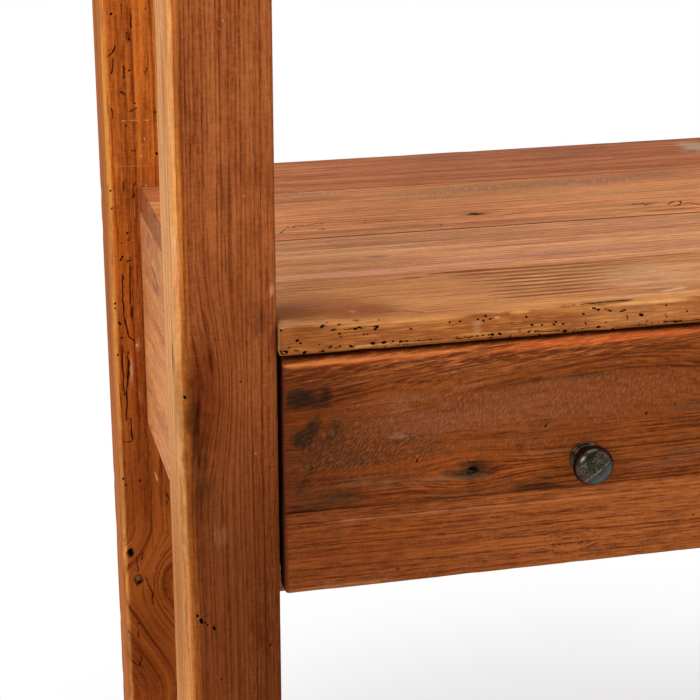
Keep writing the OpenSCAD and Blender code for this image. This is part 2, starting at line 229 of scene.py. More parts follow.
def make_spot():
    """How far a point is inside a soft ellipsoid with a ragged rim, from 0 to 1."""
    group, t, source, sink = new_group(
        "spot", [("Point", "v"), ("Centre", "v"), ("Share", "v"), ("Ragged", "f"), ("Soft", "f"),
                 ("Crumbs", "f")], [("Mask", "f")])
    away = t.vec("MULTIPLY", t.vec("SUBTRACT", source["Point"], source["Centre"]), source["Share"])
    edge = t.math("MULTIPLY_ADD", source["Crumbs"], source["Ragged"], t.vec("LENGTH", away))
    t.feed(sink["Mask"], t.ease(edge, t.math("SUBTRACT", 1.0, source["Soft"]), 1.0, 1.0, 0.0))
    return group


def make_line():
    """How near a point is to a line between two points, from 0 to 1, thinner at its ends."""
    group, t, source, sink = new_group(
        "line", [("Point", "v"), ("Start", "v"), ("Way", "v"), ("Share", "f"), ("Width", "f"),
                 ("Crumbs", "f")], [("Mask", "f")])
    away = t.vec("SUBTRACT", source["Point"], source["Start"])
    share = t.math("MULTIPLY", t.vec("DOT_PRODUCT", away, source["Way"]), source["Share"], clamp=True)
    gap = t.vec("LENGTH", t.vec("SUBTRACT", away, t.vec("SCALE", source["Way"], scale=share)))
    gap = t.math("DIVIDE", gap, source["Width"])
    end = t.math("ABSOLUTE", t.math("MULTIPLY_ADD", share, 2.0, -1.0))
    gap = t.math("MULTIPLY_ADD", t.math("POWER", end, LINE_BLUNT), LINE_TAPER, gap)
    gap = t.math("MULTIPLY_ADD", source["Crumbs"], LINE_FRAY, gap)
    t.feed(sink["Mask"], t.ease(gap, *LINE_FADE, 1.0, 0.0))
    return group


def make_bend():
    """Grain that parts round a knot: the point is drawn across the grain towards the centre."""
    group, t, source, sink = new_group(
        "bend", [("Point", "v"), ("Centre", "v"), ("Share", "v"), ("Pull", "f")], [("Point", "v")])
    away = t.vec("SUBTRACT", source["Point"], source["Centre"])
    far = t.vec("LENGTH", t.vec("MULTIPLY", away, source["Share"]))
    share = t.math("MULTIPLY", t.ease(far, 0.0, 1.0, 1.0, 0.0), source["Pull"])
    pull = t.vec("SCALE", t.vec("MULTIPLY", away, ACROSS), scale=share)
    t.feed(sink["Point"], t.vec("SUBTRACT", source["Point"], pull))
    return group


def make_shear():
    """Grain that runs aslant within a soft ellipsoid."""
    group, t, source, sink = new_group(
        "shear", [("Point", "v"), ("Centre", "v"), ("Share", "v"), ("Across", "v")], [("Point", "v")])
    away = t.vec("SUBTRACT", source["Point"], source["Centre"])
    far = t.vec("LENGTH", t.vec("MULTIPLY", away, source["Share"]))
    share = t.math("MULTIPLY", t.ease(far, *SHEAR_FADE, 1.0, 0.0), t.parts(away)["X"])
    pull = t.vec("SCALE", source["Across"], scale=share)
    t.feed(sink["Point"], t.vec("SUBTRACT", source["Point"], pull))
    return group


def make_saw():
    """Scratches of a saw blade, from 0 to 1, each across one way and along the other."""
    group, t, source, sink = new_group(
        "saw", [("Point", "v"), ("Across", "v"), ("Along", "v")], [("Mask", "f")])
    across, along = (t.vec("DOT_PRODUCT", source["Point"], source[way]) for way in ("Across", "Along"))
    place = t.joined(across, along)
    t.feed(sink["Mask"], t.ease(t.noise(place, *SAW_NOISE), *SAW_FADE))
    return group


# The noises of the grain: cells to a millimetre along the grain and across it, detail and roughness
GRAIN = {
    "slow": (0.0016, 0.008, 2, 0.5),
    "quick": (0.012, 0.06, 3, 0.6),
    "fibre": (0.013, 0.5, 4, 0.7),
    "dash": (0.05, 1.5, 1, 0.5),
    "bands": (0.0024, 0.085, 3, 0.62),
    "cloud": (0.011, 0.03, 4, 0.62),
    "crumbs": (0.06, 0.3, 4, 0.7),
    "ripple": (0.55, 0.2, 2, 0.6),
    "fuzz": (0.07, 0.8, 3, 0.8),
}
# How far the rings stray by each noise, as shares of the wander
STRAYS = {"slow": 2.0, "quick": 0.3}
# Each noise's share in the tone, as a number or as the input that gives it, and in the height
TONE_SHARES = {"fibre": "Fibre", "bands": "Bands", "ripple": "Ripple", "crumbs": 0.6, "dash": 0.2,
               "fuzz": "Fuzz"}
HEIGHT_SHARES = {"fibre": 0.22, "crumbs": 0.16, "dash": -0.12, "fuzz": 0.1}
SEED_STEP = (13.7, 29.1, 41.3)
# The widths of the years: how often they change, and by how many rings in all
YEARS_PACE = 0.21
YEARS_SPREAD = 5.0
YEARS_NOISE = (2, 0.6)
# Late wood within a ring: its slow rise, its quick fall, and how far it is luck and how far given
LATE_RISE = (0.3, 0.85)
LATE_FALL = (0.86, 1.0)
LATE_LUCK = (0.7, 0.3)
LATE_MEAN = 0.2
LATE_HEIGHT = 0.08
DASH_FADE = (0.62, 0.76)
TONE_MEAN = 0.42


def make_timber():
    """Pine: growth rings round a pith, fibres, resin dashes and broad bands, in millimetres.

    The point's x runs along the grain, and its y and z across it.
    """
    group, t, source, sink = new_group(
        "timber",
        [("Point", "v"), ("Pith", "v"), ("Lean", "v"), ("Ring", "f"), ("Wander", "f"), ("Seed", "f"),
         ("Contrast", "f"), ("Fibre", "f"), ("Bands", "f"), ("Ripple", "f"), ("Fuzz", "f")],
        [("Tone", "f"), ("Height", "f"), ("Late", "f"), ("Cloud", "f"), ("Crumbs", "f")])
    point = source["Point"]
    seed = t.vec("SCALE", SEED_STEP, scale=source["Seed"])

    def field(name, output="Fac"):
        along, across, detail, rough = GRAIN[name]
        stretched = t.vec("MULTIPLY", point, (along, across, across))
        return t.noise(t.vec("ADD", stretched, seed), detail, rough, output)

    moved = point
    for name, share in STRAYS.items():
        stray = t.vec("SUBTRACT", field(name, "Color"), (0.5, 0.5, 0.5))
        stray = t.vec("SCALE", stray, scale=t.math("MULTIPLY", source["Wander"], share))
        moved = t.vec("ADD", moved, stray)
    pith = t.vec("ADD", source["Pith"], t.vec("SCALE", source["Lean"], scale=t.parts(point)["X"]))
    radius = t.vec("LENGTH", t.vec("MULTIPLY", t.vec("SUBTRACT", moved, pith), ACROSS))
    turns = t.math("DIVIDE", radius, source["Ring"])
    years = t.noise(t.joined(t.math("MULTIPLY", turns, YEARS_PACE), source["Seed"]), *YEARS_NOISE)
    turns = t.math("MULTIPLY_ADD", years, YEARS_SPREAD, turns)
    part = t.math("FRACT", turns)
    year = t.math("ADD", t.math("FLOOR", turns), source["Seed"])
    luck = t.add("ShaderNodeTexWhiteNoise", {"W": year}, noise_dimensions="1D").outputs["Value"]
    late = t.math("MULTIPLY", t.ease(part, *LATE_RISE), t.ease(part, *LATE_FALL, 1.0, 0.0))
    late = t.math("MULTIPLY", late, t.math("MULTIPLY_ADD", luck, *LATE_LUCK))
    layers = {name: t.math("SUBTRACT", field(name), 0.5)
              for name in ("fibre", "bands", "cloud", "crumbs", "ripple", "fuzz")}
    layers["dash"] = t.ease(field("dash"), *DASH_FADE)
    tone = t.math("MULTIPLY", t.math("SUBTRACT", late, LATE_MEAN), source["Contrast"])
    for name, share in TONE_SHARES.items():
        share = source[share] if isinstance(share, str) else share
        tone = t.math("MULTIPLY_ADD", layers[name], share, tone)
    height = t.math("MULTIPLY", late, LATE_HEIGHT)
    for name, share in HEIGHT_SHARES.items():
        height = t.math("MULTIPLY_ADD", layers[name], share, height)
    crumbs = t.math("ADD", t.math("ADD", layers["crumbs"], layers["bands"]), layers["fibre"])
    tone = t.math("ADD", tone, TONE_MEAN, clamp=True)
    t.feed_all(sink, {"Tone": tone, "Height": height, "Late": late, "Cloud": layers["cloud"],
                      "Crumbs": crumbs})
    return group


SPOT = make_spot()
LINE = make_line()
BEND = make_bend()
SHEAR = make_shear()
SAW = make_saw()
TIMBER = make_timber()


# Boards

# Each face's axis, and 0 for its low side or 1 for its high one
FACES = {"left": (0, 0), "right": (0, 1), "front": (1, 0), "back": (1, 1), "under": (2, 0),
         "top": (2, 1)}


class Board:
    """A board's box in millimetres and the way that its grain runs.

    A place on a face is two numbers: along the grain and across it.
    """

    def __init__(self, node):
        self.node = node
        self.box = np.array(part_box(node)) / MM
        self.grain = int(np.argmax(self.box[1] - self.box[0]))
        self.order = [self.grain] + [d for d in range(3) if d != self.grain]

    def on(self, face, place, sink=0.0):
        """The point at this place on a face, or this far under it."""
        across, side = FACES[face]
        point = np.empty(3)
        point[self.grain] = place[0]
        point[3 - self.grain - across] = place[1]
        point[across] = self.box[side][across] + sink * (1 - 2 * side)
        return point

    def way(self, face, along, across, through=0.0):
        """A vector with these parts along the grain, across it and square to the face."""
        normal = FACES[face][0]
        vector = np.empty(3)
        vector[self.grain] = along
        vector[3 - self.grain - normal] = across
        vector[normal] = through
        return vector

    def turned(self, vector):
        """A vector's parts in the shader's order: the grain first."""
        return tuple(float(vector[d]) for d in self.order)

    def ellipsoid(self, face, centre, reach, depth):
        """The inputs that give a node group an ellipsoid on a face, with these half lengths."""
        share = self.way(face, 1 / reach[0], 1 / reach[1], 1 / depth)
        return dict(Centre=self.turned(self.on(face, centre)), Share=self.turned(share))

    def seen(self, face, pixel):
        """The place on a face that shows at this pixel of the photograph."""
        across, side = FACES[face]
        half = PHOTO / 2
        pitch = SENSOR / PHOTO
        ray = Vector(((pixel[0] - half) * pitch, (half - pixel[1]) * pitch, -LENS))
        ray.rotate(mathutils.Euler(CAMERA_TURN))
        start = np.array(CAMERA_PLACE) / MM
        point = start + np.array(ray) * (self.box[side][across] - start[across]) / ray[across]
        return float(point[self.grain]), float(point[3 - self.grain - across])


# Marks: each is a kind, its places on a face and its facts

# A worm hole's depth: at least this, and more by a share of its radius
LEAST_DEPTH = 2
DEPTH_SHARE = 3


def bend(place, reach, pull):
    """Grain that parts round a knot."""
    return "bend", [place], reach, pull


def slant(place, reach, pull):
    """Grain that runs aslant."""
    return "slant", [place], reach, pull


def stain(place, reach, code, strength, ragged, soft):
    """A patch of another colour, reach wide, with a ragged and soft rim."""
    return "stain", [place], code, strength, reach, ragged, soft


def streak(start, end, width, code, strength):
    """A line of another colour."""
    return "streak", [start, end], code, strength, width


def fan(first, last, count, width, code, strength):
    """Even lines from the first line to the last, each given by its two ends."""
    made = []
    for k in range(count):
        share = k / (count - 1)
        ends = [tuple(a + (b - a) * share for a, b in zip(p, q)) for p, q in zip(first, last)]
        made.append(streak(*ends, width, code, strength))
    return made


def sawn(place, reach, angle, pitch, length, code, strength):
    """A patch of saw scratches at this angle to the grain, length pitches long."""
    return "sawn", [place], code, strength, reach, angle, pitch, length


def side(way, start, end, code, strength):
    """A colour over all of the board before start along way, faded out at end, in mm."""
    return "side", [], code, strength, way, start, end


def holes(*places):
    """Worm holes, each with the radius that ends its place: wide ones are deep."""
    return [("hole", [place[:2]], place[2], LEAST_DEPTH + DEPTH_SHARE * place[2]) for place in places]


def slot(place, radius):
    """A nail's narrow slot."""
    return "slot", [place], radius


def track(*places):
    """A worm's open track, with the half width at each place."""
    return "track", [place[:2] for place in places], [place[2] for place in places]


def crack(*places):
    """An open crack, with the half width at each place."""
    return "crack", [place[:2] for place in places], [place[2] for place in places]


def pepper(low, high, count, size):
    """Many small worm holes strewn between two corners."""
    return "pepper", [low, high], count, size


# Wood

# How a shade's strength follows from the green of its colour: a start and a slope
DARK_SHADE = (0.5, 0.4)
LIGHT_SHADE = (1.52, -0.56)
WARMTH = (1, 0.93, 0.86)
# How deep a bend and a coloured mark reach into the wood
BEND_DEPTH = 40
MARK_DEPTH = 12
SAWN_RAGGED = 1.2
SAWN_SOFT = 0.9
SAWN_TONE = 0.8
SAWN_HEIGHT = 0.08
SAWN_TINT = 0.4
SIDE_FRAY = 0.8
PATINA_FADE = (-0.02, 0.16)
LATE_GLOSS = -0.08
CLOUD_ROUGH = 0.35
RELIEF = 0.001
TIMBER_FACTS = ("ring", "wander", "seed", "contrast", "fibre", "bands", "ripple", "fuzz")


def shades(code):
    """A light shade of a colour and a dark, warmer one, which are closer for a pale colour."""
    colour = rgb(code)[:3]
    deep = DARK_SHADE[0] + DARK_SHADE[1] * colour[1]
    lift = LIGHT_SHADE[0] + LIGHT_SHADE[1] * deep
    light = tuple(min(1.0, c * lift) for c in colour)
    dark = tuple(c * deep * warmth for c, warmth in zip(colour, WARMTH))
    return light + (1,), dark + (1,)


def bent(t, board, point, marks):
    """The point at which to look up the grain, drawn aside by the board's bends and slants."""
    for face, (kind, places, *facts) in marks:
        if kind not in ("bend", "slant"):
            continue
        reach, pull = facts
        around = board.ellipsoid(face, places[0], reach, BEND_DEPTH)
        if kind == "bend":
            point = t.group(BEND, Point=point, Pull=pull, **around)[0]
        else:
            across = board.turned(board.way(face, 0, pull))
            point = t.group(SHEAR, Point=point, Across=across, **around)[0]
    return point


def sawn_masks(t, board, face, mark, plain, crumbs):
    """The masks of a sawn patch and of the scratches that cross it."""
    places, _, strength, reach, angle, pitch, length = mark[1:]
    patch = t.group(SPOT, Point=plain, Ragged=SAWN_RAGGED, Soft=SAWN_SOFT, Crumbs=crumbs,
                    **board.ellipsoid(face, places[0], reach, MARK_DEPTH))[0]
    patch = t.math("MULTIPLY", patch, strength, clamp=True)
    turn = math.radians(angle)
    across = board.way(face, -math.sin(turn) / pitch, math.cos(turn) / pitch)
    along = board.way(face, math.cos(turn) / pitch / length, math.sin(turn) / pitch / length)
    scratch = t.group(SAW, Point=plain, Across=board.turned(across), Along=board.turned(along))[0]
    return patch, scratch


def coloured_mask(t, board, face, mark, plain, crumbs):
    """The mask of a stain, a streak or a side."""
    kind, places, *facts = mark
    if kind == "stain":
        reach, ragged, soft = facts[2:]
        return t.group(SPOT, Point=plain, Ragged=ragged, Soft=soft, Crumbs=crumbs,
                       **board.ellipsoid(face, places[0], reach, MARK_DEPTH))[0]
    if kind == "streak":
        a, b = (board.on(face, place) for place in places)
        return t.group(LINE, Point=plain, Start=board.turned(a), Way=board.turned(b - a),
                       Share=1 / float(np.dot(b - a, b - a)), Width=facts[2], Crumbs=crumbs)[0]
    way, start, end = facts[2:]
    value = t.vec("DOT_PRODUCT", plain, board.turned(np.array(way, float)))
    value = t.math("MULTIPLY_ADD", crumbs, (end - start) * SIDE_FRAY, value)
    return t.ease(value, start, end, 1.0, 0.0)


def wood(board, look, marks):
    """The material of one board, with its own rings and the marks that it bears."""
    material, t, shader = new_material(board.node + "_wood")
    parts = t.parts(t.place())
    plain = t.joined(*(parts[d] for d in board.order))
    middle = board.turned(board.box.mean(axis=0))
    pith = (0, middle[1] + look["pith"][0], middle[2] + look["pith"][1])
    timber = t.group(TIMBER, Point=bent(t, board, plain, marks), Pith=pith, Lean=(0, *look["lean"]),
                     **{fact.title(): look[fact] for fact in TIMBER_FACTS})
    tone = timber["Tone"]
    height = timber["Height"]
    crumbs = timber["Crumbs"]
    scratches = []
    for face, mark in marks:
        if mark[0] == "sawn":
            patch, scratch = sawn_masks(t, board, face, mark, plain, crumbs)
            sawn_tone = t.math("MULTIPLY_ADD", scratch, -SAWN_TONE, SAWN_TONE)
            tone = t.math("MULTIPLY_ADD", patch, t.math("SUBTRACT", sawn_tone, tone), tone)
            mask = t.math("MULTIPLY", patch, scratch)
            height = t.math("MULTIPLY_ADD", mask, SAWN_HEIGHT, height)
            scratches.append((mask, mark[2]))
    colour = t.mix(tone, rgb(look["early"]), rgb(look["late"]))
    patina = t.math("MULTIPLY", t.ease(timber["Cloud"], *PATINA_FADE), look["patina"])
    colour = t.mix(patina, colour, t.mix(tone, *shades(look["stain"])))
    for face, mark in marks:
        if mark[0] in ("stain", "streak", "side"):
            code, strength = mark[2:4]
            mask = coloured_mask(t, board, face, mark, plain, crumbs)
            mask = t.math("MULTIPLY", mask, strength)
            colour = t.mix(mask, colour, t.mix(tone, *shades(code)))
    for mask, code in scratches:
        colour = t.mix(t.math("MULTIPLY", mask, SAWN_TINT), colour, rgb(code))
    rough = t.math("MULTIPLY_ADD", timber["Late"], LATE_GLOSS, look["rough"])
    rough = t.math("MULTIPLY_ADD", timber["Cloud"], CLOUD_ROUGH, rough)
    t.feed_all(shader, {"Base Color": colour, "Roughness": rough, "Specular IOR Level": look["gloss"],
                        "Normal": t.bump(height, RELIEF, look["bump"])})
    return material


# Meshes

# Primes that mix a cell's three numbers and the seed, two more that stir the mix, and its size
HASH_CELL = (73856093, 19349663, 83492791)
HASH_SEED = 2654435761
HASH_STIR = ((13, 1274126177), (16, 668265263))
HASH_MOST = 0x7FFFFFFF
# Where the lines of a board's grid lie near its edges, as shares of the worn width
EDGE_LINES = np.array([0, 0.08, 0.18, 0.32, 0.6, 0.8])
# Unevenness: cells along and across the grain in mm, and a step for the seed
SCALLOPS = (55, 14, 0)
CHIPS = (16, 9, 7)
SWELLS = (260, 45, 13)
FURROWS = (34, 5, 29)
# The level of their noise above which chips start
CHIP_LEVEL = 0.62
# An edge's radius as shares of the look's edge: unworn, and what scallops and chips add at most
UNWORN = 1.03
SCALLOPED = 0.5
CHIPPED = 1.1
# How far a face lies under the board's box, in mm: at least, and what swells and furrows add at most
LEAST_DIP = 0.03
SWELL_DIP = 0.22
FURROW_DIP = 0.05
# How far from a plank's outer side its wide edges end, in edges
OUTER_EDGES = 3


def value_noise(points, seed):
    """Smooth noise from 0 to 1 at points whose unit is the cell."""
    base = np.floor(points).astype(np.int64)
    part = points - base
    part = part * part * (3 - 2 * part)
    total = np.zeros(len(points))
    for corner in range(8):
        step = np.array([corner & 1, corner >> 1 & 1, corner >> 2 & 1])
        cell = (base + step) * HASH_CELL
        key = (cell[:, 0] ^ cell[:, 1] ^ cell[:, 2] ^ (seed + 1) * HASH_SEED) & HASH_MOST
        for shift, prime in HASH_STIR:
            key = ((key ^ key >> shift) * prime) & HASH_MOST
        weight = np.prod(np.where(step, part, 1 - part), axis=1)
        total += weight * ((key >> 7) & 0xFFFF) / 0xFFFF
    return total


def grid_lines(low, high, edge, step):
    """Places from low to high, closer together within edge of both ends."""
    count = max(2, round((high - low - 2 * edge) / step))
    fine = edge * EDGE_LINES
    inner = np.linspace(low + edge, high - edge, count + 1)
    return np.concatenate([low + fine, inner, high - fine[::-1]])


def shell(lines):
    """Corners and quads of the closed surface of a grid with lines at these places."""
    counts = [len(line) for line in lines]
    weights = (counts[1] * counts[2], counts[2], 1)
    quads = []
    for d in range(3):
        a = (d + 1) % 3
        b = (d + 2) % 3
        i, j = np.meshgrid(np.arange(counts[a] - 1), np.arange(counts[b] - 1), indexing="ij")
        start = i.ravel() * weights[a] + j.ravel() * weights[b]
        steps = (0, weights[a], weights[a] + weights[b], weights[b])
        ring = np.stack([start + step for step in steps], 1)
        quads.append(ring[:, ::-1])
        quads.append(ring + (counts[d] - 1) * weights[d])
    used, quads = np.unique(np.concatenate(quads), return_inverse=True)
    grid = np.stack([used // weights[0], used // weights[1] % counts[1], used % counts[2]], 1)
    corners = np.stack([lines[d][grid[:, d]] for d in range(3)], 1)
    return corners, quads.reshape(-1, 4)


def mesh_from(name, corners, faces):
    """A mesh from corners in millimetres and faces that all have as many corners."""
    mesh = bpy.data.meshes.new(name)
    mesh.vertices.add(len(corners))
    mesh.vertices.foreach_set("co", (np.asarray(corners) * MM).astype(np.float32).ravel())
    faces = np.asarray(faces, dtype=np.int32)
    size = faces.shape[1]
    mesh.loops.add(faces.size)
    mesh.loops.foreach_set("vertex_index", faces.ravel())
    mesh.polygons.add(len(faces))
    mesh.polygons.foreach_set("loop_start", np.arange(len(faces), dtype=np.int32) * size)
    mesh.update(calc_edges=True)
    return mesh


def worn_block(board, look):
    """A board's dense outer surface: rounded, uneven, and chipped along its edges."""
    edge = look["edge"]
    wear = look["wear"]
    seed = int(look["seed"] * 10)
    low, high = board.box
    spacing = np.empty(3)
    spacing[board.order] = look["steps"]
    lines = [grid_lines(low[d], high[d], edge * 2, spacing[d]) for d in range(3)]
    corners, quads = shell(lines)

    def bumps(along, across, layer):
        scale = np.empty(3)
        scale[board.order] = (1 / along, 1 / across, 1 / across)
        return value_noise(corners * scale, seed + layer)

    chips = np.clip(bumps(*CHIPS) - CHIP_LEVEL, 0, 1) / (1 - CHIP_LEVEL)
    radius = edge * (UNWORN + wear * (SCALLOPED * bumps(*SCALLOPS) + CHIPPED * chips))
    if "seam" in look:
        outer_side = low[1] if board.node.endswith("plank_front") else high[1]
        near = np.abs(corners[:, 1] - outer_side) < OUTER_EDGES * edge
        outer = near * board.node.endswith(("plank_front", "plank_back"))
        radius = np.where(outer, radius, look["seam"] * radius / edge)
    radius = np.minimum(radius, edge * 2)[:, None]
    core = np.clip(corners, low + radius, high - radius)
    out = corners - core
    out = out / np.maximum(np.linalg.norm(out, axis=1)[:, None], TINY)
    dip = LEAST_DIP + SWELL_DIP * wear * bumps(*SWELLS) + FURROW_DIP * bumps(*FURROWS)
    return mesh_from(board.node + "_board", core + out * (radius - dip[:, None]), quads)


# How near to one another a CAD mesh's corners are taken for one, in metres
WELD = 1e-6


def welded(node):
    """A closed copy of a CAD node's mesh, for cutting with."""
    work = bmesh.new()
    work.from_mesh(frame["nodes"][node].data)
    bmesh.ops.remove_doubles(work, verts=work.verts, dist=WELD)
    mesh = bpy.data.meshes.new(node + "_cut")
    work.to_mesh(mesh)
    work.free()
    return mesh


# A way that no tube runs along
OFF_AXIS = (0.31, 0.52, 0.79)
TUBE_SIDES = 8
RIM_SIDES = 20


def tube(points, radii, oval=None, stretch=0.0, sides=TUBE_SIDES):
    """A closed tapering tube along these points, as corners and triangles, wider along oval."""
    points = np.asarray(points, float)
    count = len(points)
    corners = []
    for k in range(count):
        way = points[min(k + 1, count - 1)] - points[max(k - 1, 0)]
        way = way / np.linalg.norm(way)
        level = np.cross(way, OFF_AXIS)
        level = level / np.linalg.norm(level)
        upright = np.cross(way, level)
        for a in range(sides):
            turn = 2 * math.pi * a / sides
            offset = radii[k] * (math.cos(turn) * level + math.sin(turn) * upright)
            if oval is not None:
                offset = offset + stretch * np.dot(offset, oval) * oval
            corners.append(points[k] + offset)
    faces = []
    for k in range(count - 1):
        for a in range(sides):
            b = (a + 1) % sides
            p, q, r, s = k * sides + a, k * sides + b, (k + 1) * sides + b, (k + 1) * sides + a
            faces += [(p, q, r), (p, r, s)]
    last = (count - 1) * sides
    for a in range(1, sides - 1):
        faces += [(0, a + 1, a), (last, last + a, last + a + 1)]
    return corners, faces


# A worm's way between two places: its steps, the spread of its widths and how far it strays
WORM_STEPS = (0, 0.25, 0.5, 0.75)
WORM_WIDTHS = (0.35, 1.25)
WORM_STRAY = 0.7
# A hole's greatest tilt and lean, its widest oval, and its radii from above the face to its bottom
HOLE_TILT = 0.3
HOLE_LEAN = 0.7
HOLE_OVAL = 0.9
HOLE_TAPER = (1.3, 1, 0.6)
HOLE_START = (-0.8, 0.4)
SLOT_DEPTH = 5
SLOT_WAY = (0.42, 0.91)
SLOT_OVAL = 1.4
# How deep a cut's middle lies, in half widths, and the rim of a track: its width and its depth
CUT_SINK = 0.3
RIM_SPREAD = 2.2
RIM_MARGIN = 0.6
RIM_DEPTH = 0.3


def wandering(places, widths, rng):
    """Places in small uneven steps along a worm's way or a crack, and their half widths."""
    fine = []
    spans = []
    for k in range(len(places) - 1):
        for s in WORM_STEPS:
            place = [places[k][d] * (1 - s) + places[k + 1][d] * s for d in (0, 1)]
            spans.append((widths[k] * (1 - s) + widths[k + 1] * s) * rng.uniform(*WORM_WIDTHS))
            fine.append((place[0], place[1] + (rng.uniform(-WORM_STRAY, WORM_STRAY) if s else 0)))
    fine.append(places[-1])
    spans.append(widths[-1])
    return fine, spans


def hollows(board, marks, rng):
    """The tubes that cut a board's holes and cracks, its tracks, and the tracks' wide shallow rims."""
    deep = []
    shallow = []
    rims = []
    for face, (kind, places, *facts) in marks:
        if kind in ("hole", "slot"):
            radius = facts[0]
            depth = facts[1] if kind == "hole" else SLOT_DEPTH
            tilt = board.way(face, *rng.uniform(-HOLE_TILT, HOLE_TILT, 2))
            points = [board.on(face, places[0], d) + tilt * d for d in (*HOLE_START, depth)]
            lean = rng.uniform(-HOLE_LEAN, HOLE_LEAN)
            oval = board.way(face, *SLOT_WAY) if kind == "slot" else board.way(face, 1, lean)
            stretch = SLOT_OVAL if kind == "slot" else rng.uniform(0, HOLE_OVAL)
            deep.append(tube(points, [radius * part for part in HOLE_TAPER], oval, stretch))
        elif kind in ("track", "crack"):
            fine, spans = wandering(places, facts[0], rng)
            open_cut = shallow if kind == "track" else deep
            open_cut.append(tube([board.on(face, p, w * CUT_SINK) for p, w in zip(fine, spans)], spans))
            if kind == "track":
                wide = [RIM_SPREAD * w + RIM_MARGIN for w in spans]
                points = [board.on(face, p, RIM_DEPTH - w) for p, w in zip(fine, wide)]
                rims.append(tube(points, wide, sides=RIM_SIDES))
    return deep, shallow, rims


def boolean(piece, mesh, operation):
    """Cut a piece with a mesh, or keep what is inside it."""
    helper = add_object("helper", mesh)
    cut = piece.modifiers.new("cut", "BOOLEAN")
    cut.operation = operation
    cut.solver = "MANIFOLD"
    cut.object = helper
    cut.material_mode = "TRANSFER" if operation == "DIFFERENCE" else "INDEX"
    graph = bpy.context.evaluated_depsgraph_get()
    made = bpy.data.meshes.new_from_object(piece.evaluated_get(graph))
    piece.modifiers.clear()
    piece.data = made
    bpy.data.objects.remove(helper)


DUST_NOISE = (3, 0.6)
DUST_SCALE = 0.9


def make_hollow(name, deep, shallow):
    """The inside of a worm hole or a crack, or the rim of a worm's track, whose dark red-brown is painted
    shade.
    """
    material, t, shader = new_material(name)
    dust = t.noise(t.place(), *DUST_NOISE, scale=DUST_SCALE)
    t.feed_all(shader, {"Base Color": t.mix(dust, rgb(deep), rgb(shallow)), "Roughness": 0.95,
                        "Specular IOR Level": 0.1})
    return material


def carve(piece, tubes, material):
    """Cut these tubes out of a piece and line the cuts with the material."""
    if not tubes:
        return
    corners = []
    faces = []
    for points, triangles in tubes:
        faces += [[i + len(corners) for i in triangle] for triangle in triangles]
        corners += points
    cutter = mesh_from("holes", corners, faces)
    cutter.materials.append(material)
    boolean(piece, cutter, "DIFFERENCE")


SHARP_FROM = math.radians(38)


def add_board(board, look, marks):
    """A worn and marked board in the place of its CAD node."""
    node = board.node
    block = worn_block(board, look)
    block.materials.append(wood(board, look, marks))
    piece = add_object(node + "_board", block)
    boolean(piece, welded(node), "INTERSECT")
    deep, shallow, rims = hollows(board, marks, np.random.default_rng(int(look["seed"] * 10)))
    for tubes, lining in ((rims, TRACK_RIM_SHADE), (shallow, TRACK), (deep, HOLLOW)):
        carve(piece, tubes, lining)
    piece.data.shade_smooth()
    piece.data.set_sharp_from_angle(angle=SHARP_FROM)
    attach(piece, frame["nodes"][node]["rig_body"])
    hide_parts(node)


# Knobs

def lathe(outline, axis_point, count):
    """A closed shape turned about a level axis: outline holds (radius, reach towards the front)."""
    corners = []
    rows = []
    for radius, reach in outline:
        if radius < TINY:
            rows.append([len(corners)] * count)
            corners.append((0.0, reach, 0.0))
            continue
        rows.append([len(corners) + k for k in range(count)])
        for k in range(count):
            turn = 2 * math.pi * k / count
            corners.append((radius * math.cos(turn), reach, radius * math.sin(turn)))
    faces = []
    for upper, lower in zip(rows[1:], rows):
        for k in range(count):
            n = (k + 1) % count
            for face in ((lower[k], lower[n], upper[n]), (lower[k], upper[n], upper[k])):
                if len(set(face)) == 3:
                    faces.append(face)
    return np.array(corners) * (1, -1, 1) + axis_point, faces


def arc(middle, reach, half, start, end, count):
    """Points of part of an ellipse, in the lathe's (radius, reach), with angles in degrees."""
    turns = np.radians(np.linspace(start, end, count))
    return [(middle + half[0] * math.cos(a), reach + half[1] * math.sin(a)) for a in turns]


# The knob's foot and its two beads, its neck, and where its head is widest as a share of its reach
FOOT = [(0.0, 0.0), (11.0, 0.0), (11.6, 0.3)]
FOOT_BEAD = arc(10.7, 1.6, (1.5, 1.3), -60, 84, 9) + [(9.6, 3.05)]
UPPER_BEAD = arc(9.0, 4.2, (1.5, 1.0), -50, 90, 8)
NECK = [(7.8, 5.3), (7.2, 6.6), (6.9, 8.2), (7.0, 9.8), (7.7, 11.2), (9.2, 12.3), (11.2, 13.0)]
HEAD_RIM = 0.66
RIM_HALF = (3.4, 3.2)
DOME_FULLNESS = 2 / 2.5
DOME_RINGS = 30
KNOB_SIDES = 72
# The way across the band of hammer blows, its middle and half widths, and the scratch beside it
ACROSS_SCRATCH = (0.62, 0, -0.784)
STRUCK_MIDDLE = 3.8
STRUCK_FADE = (4.2, 6.2)
SCRATCH = 2.4
SCRATCH_FADE = (0.15, 0.5)
# Where the blows end towards the head's rim, on the mesh and in the material
BLOWS_FADE = (9.5, 12.5)
FACE_FADE = (10.5, 13.5)
# Blows and slow waves on the mesh: cells and depths in mm, and the share of the finer blows
BLOW_CELLS = (1.3, 0.75)
FINER_BLOWS = 0.6
BLOW_DEPTH = 0.42
WAVE_CELL = 4
WAVE_DEPTH = 0.05
# Depths behind the knob's middle where the face ends, the painted shade behind it sets in and the foot's
# painted shade starts
FACE_DEPTHS = (-8, -5)
SHADE_DEPTHS = (-8, -3.5)
FOOT_SHADE_DEPTHS = (7, 9)
# The iron's colours: the bluish pair is a painted reflection, the pale speck colour is painted glints,
# and the shade and the foot's colour are painted shade
IRON = {"head": "50483d", "head_dark": "3a342c", "bright": "56636a", "bright_dark": "3e474b",
        "shade": "1f1914", "rubbed": "96917e", "pit": "0b0907", "scratch": "9c9080", "foot": "4c4136"}
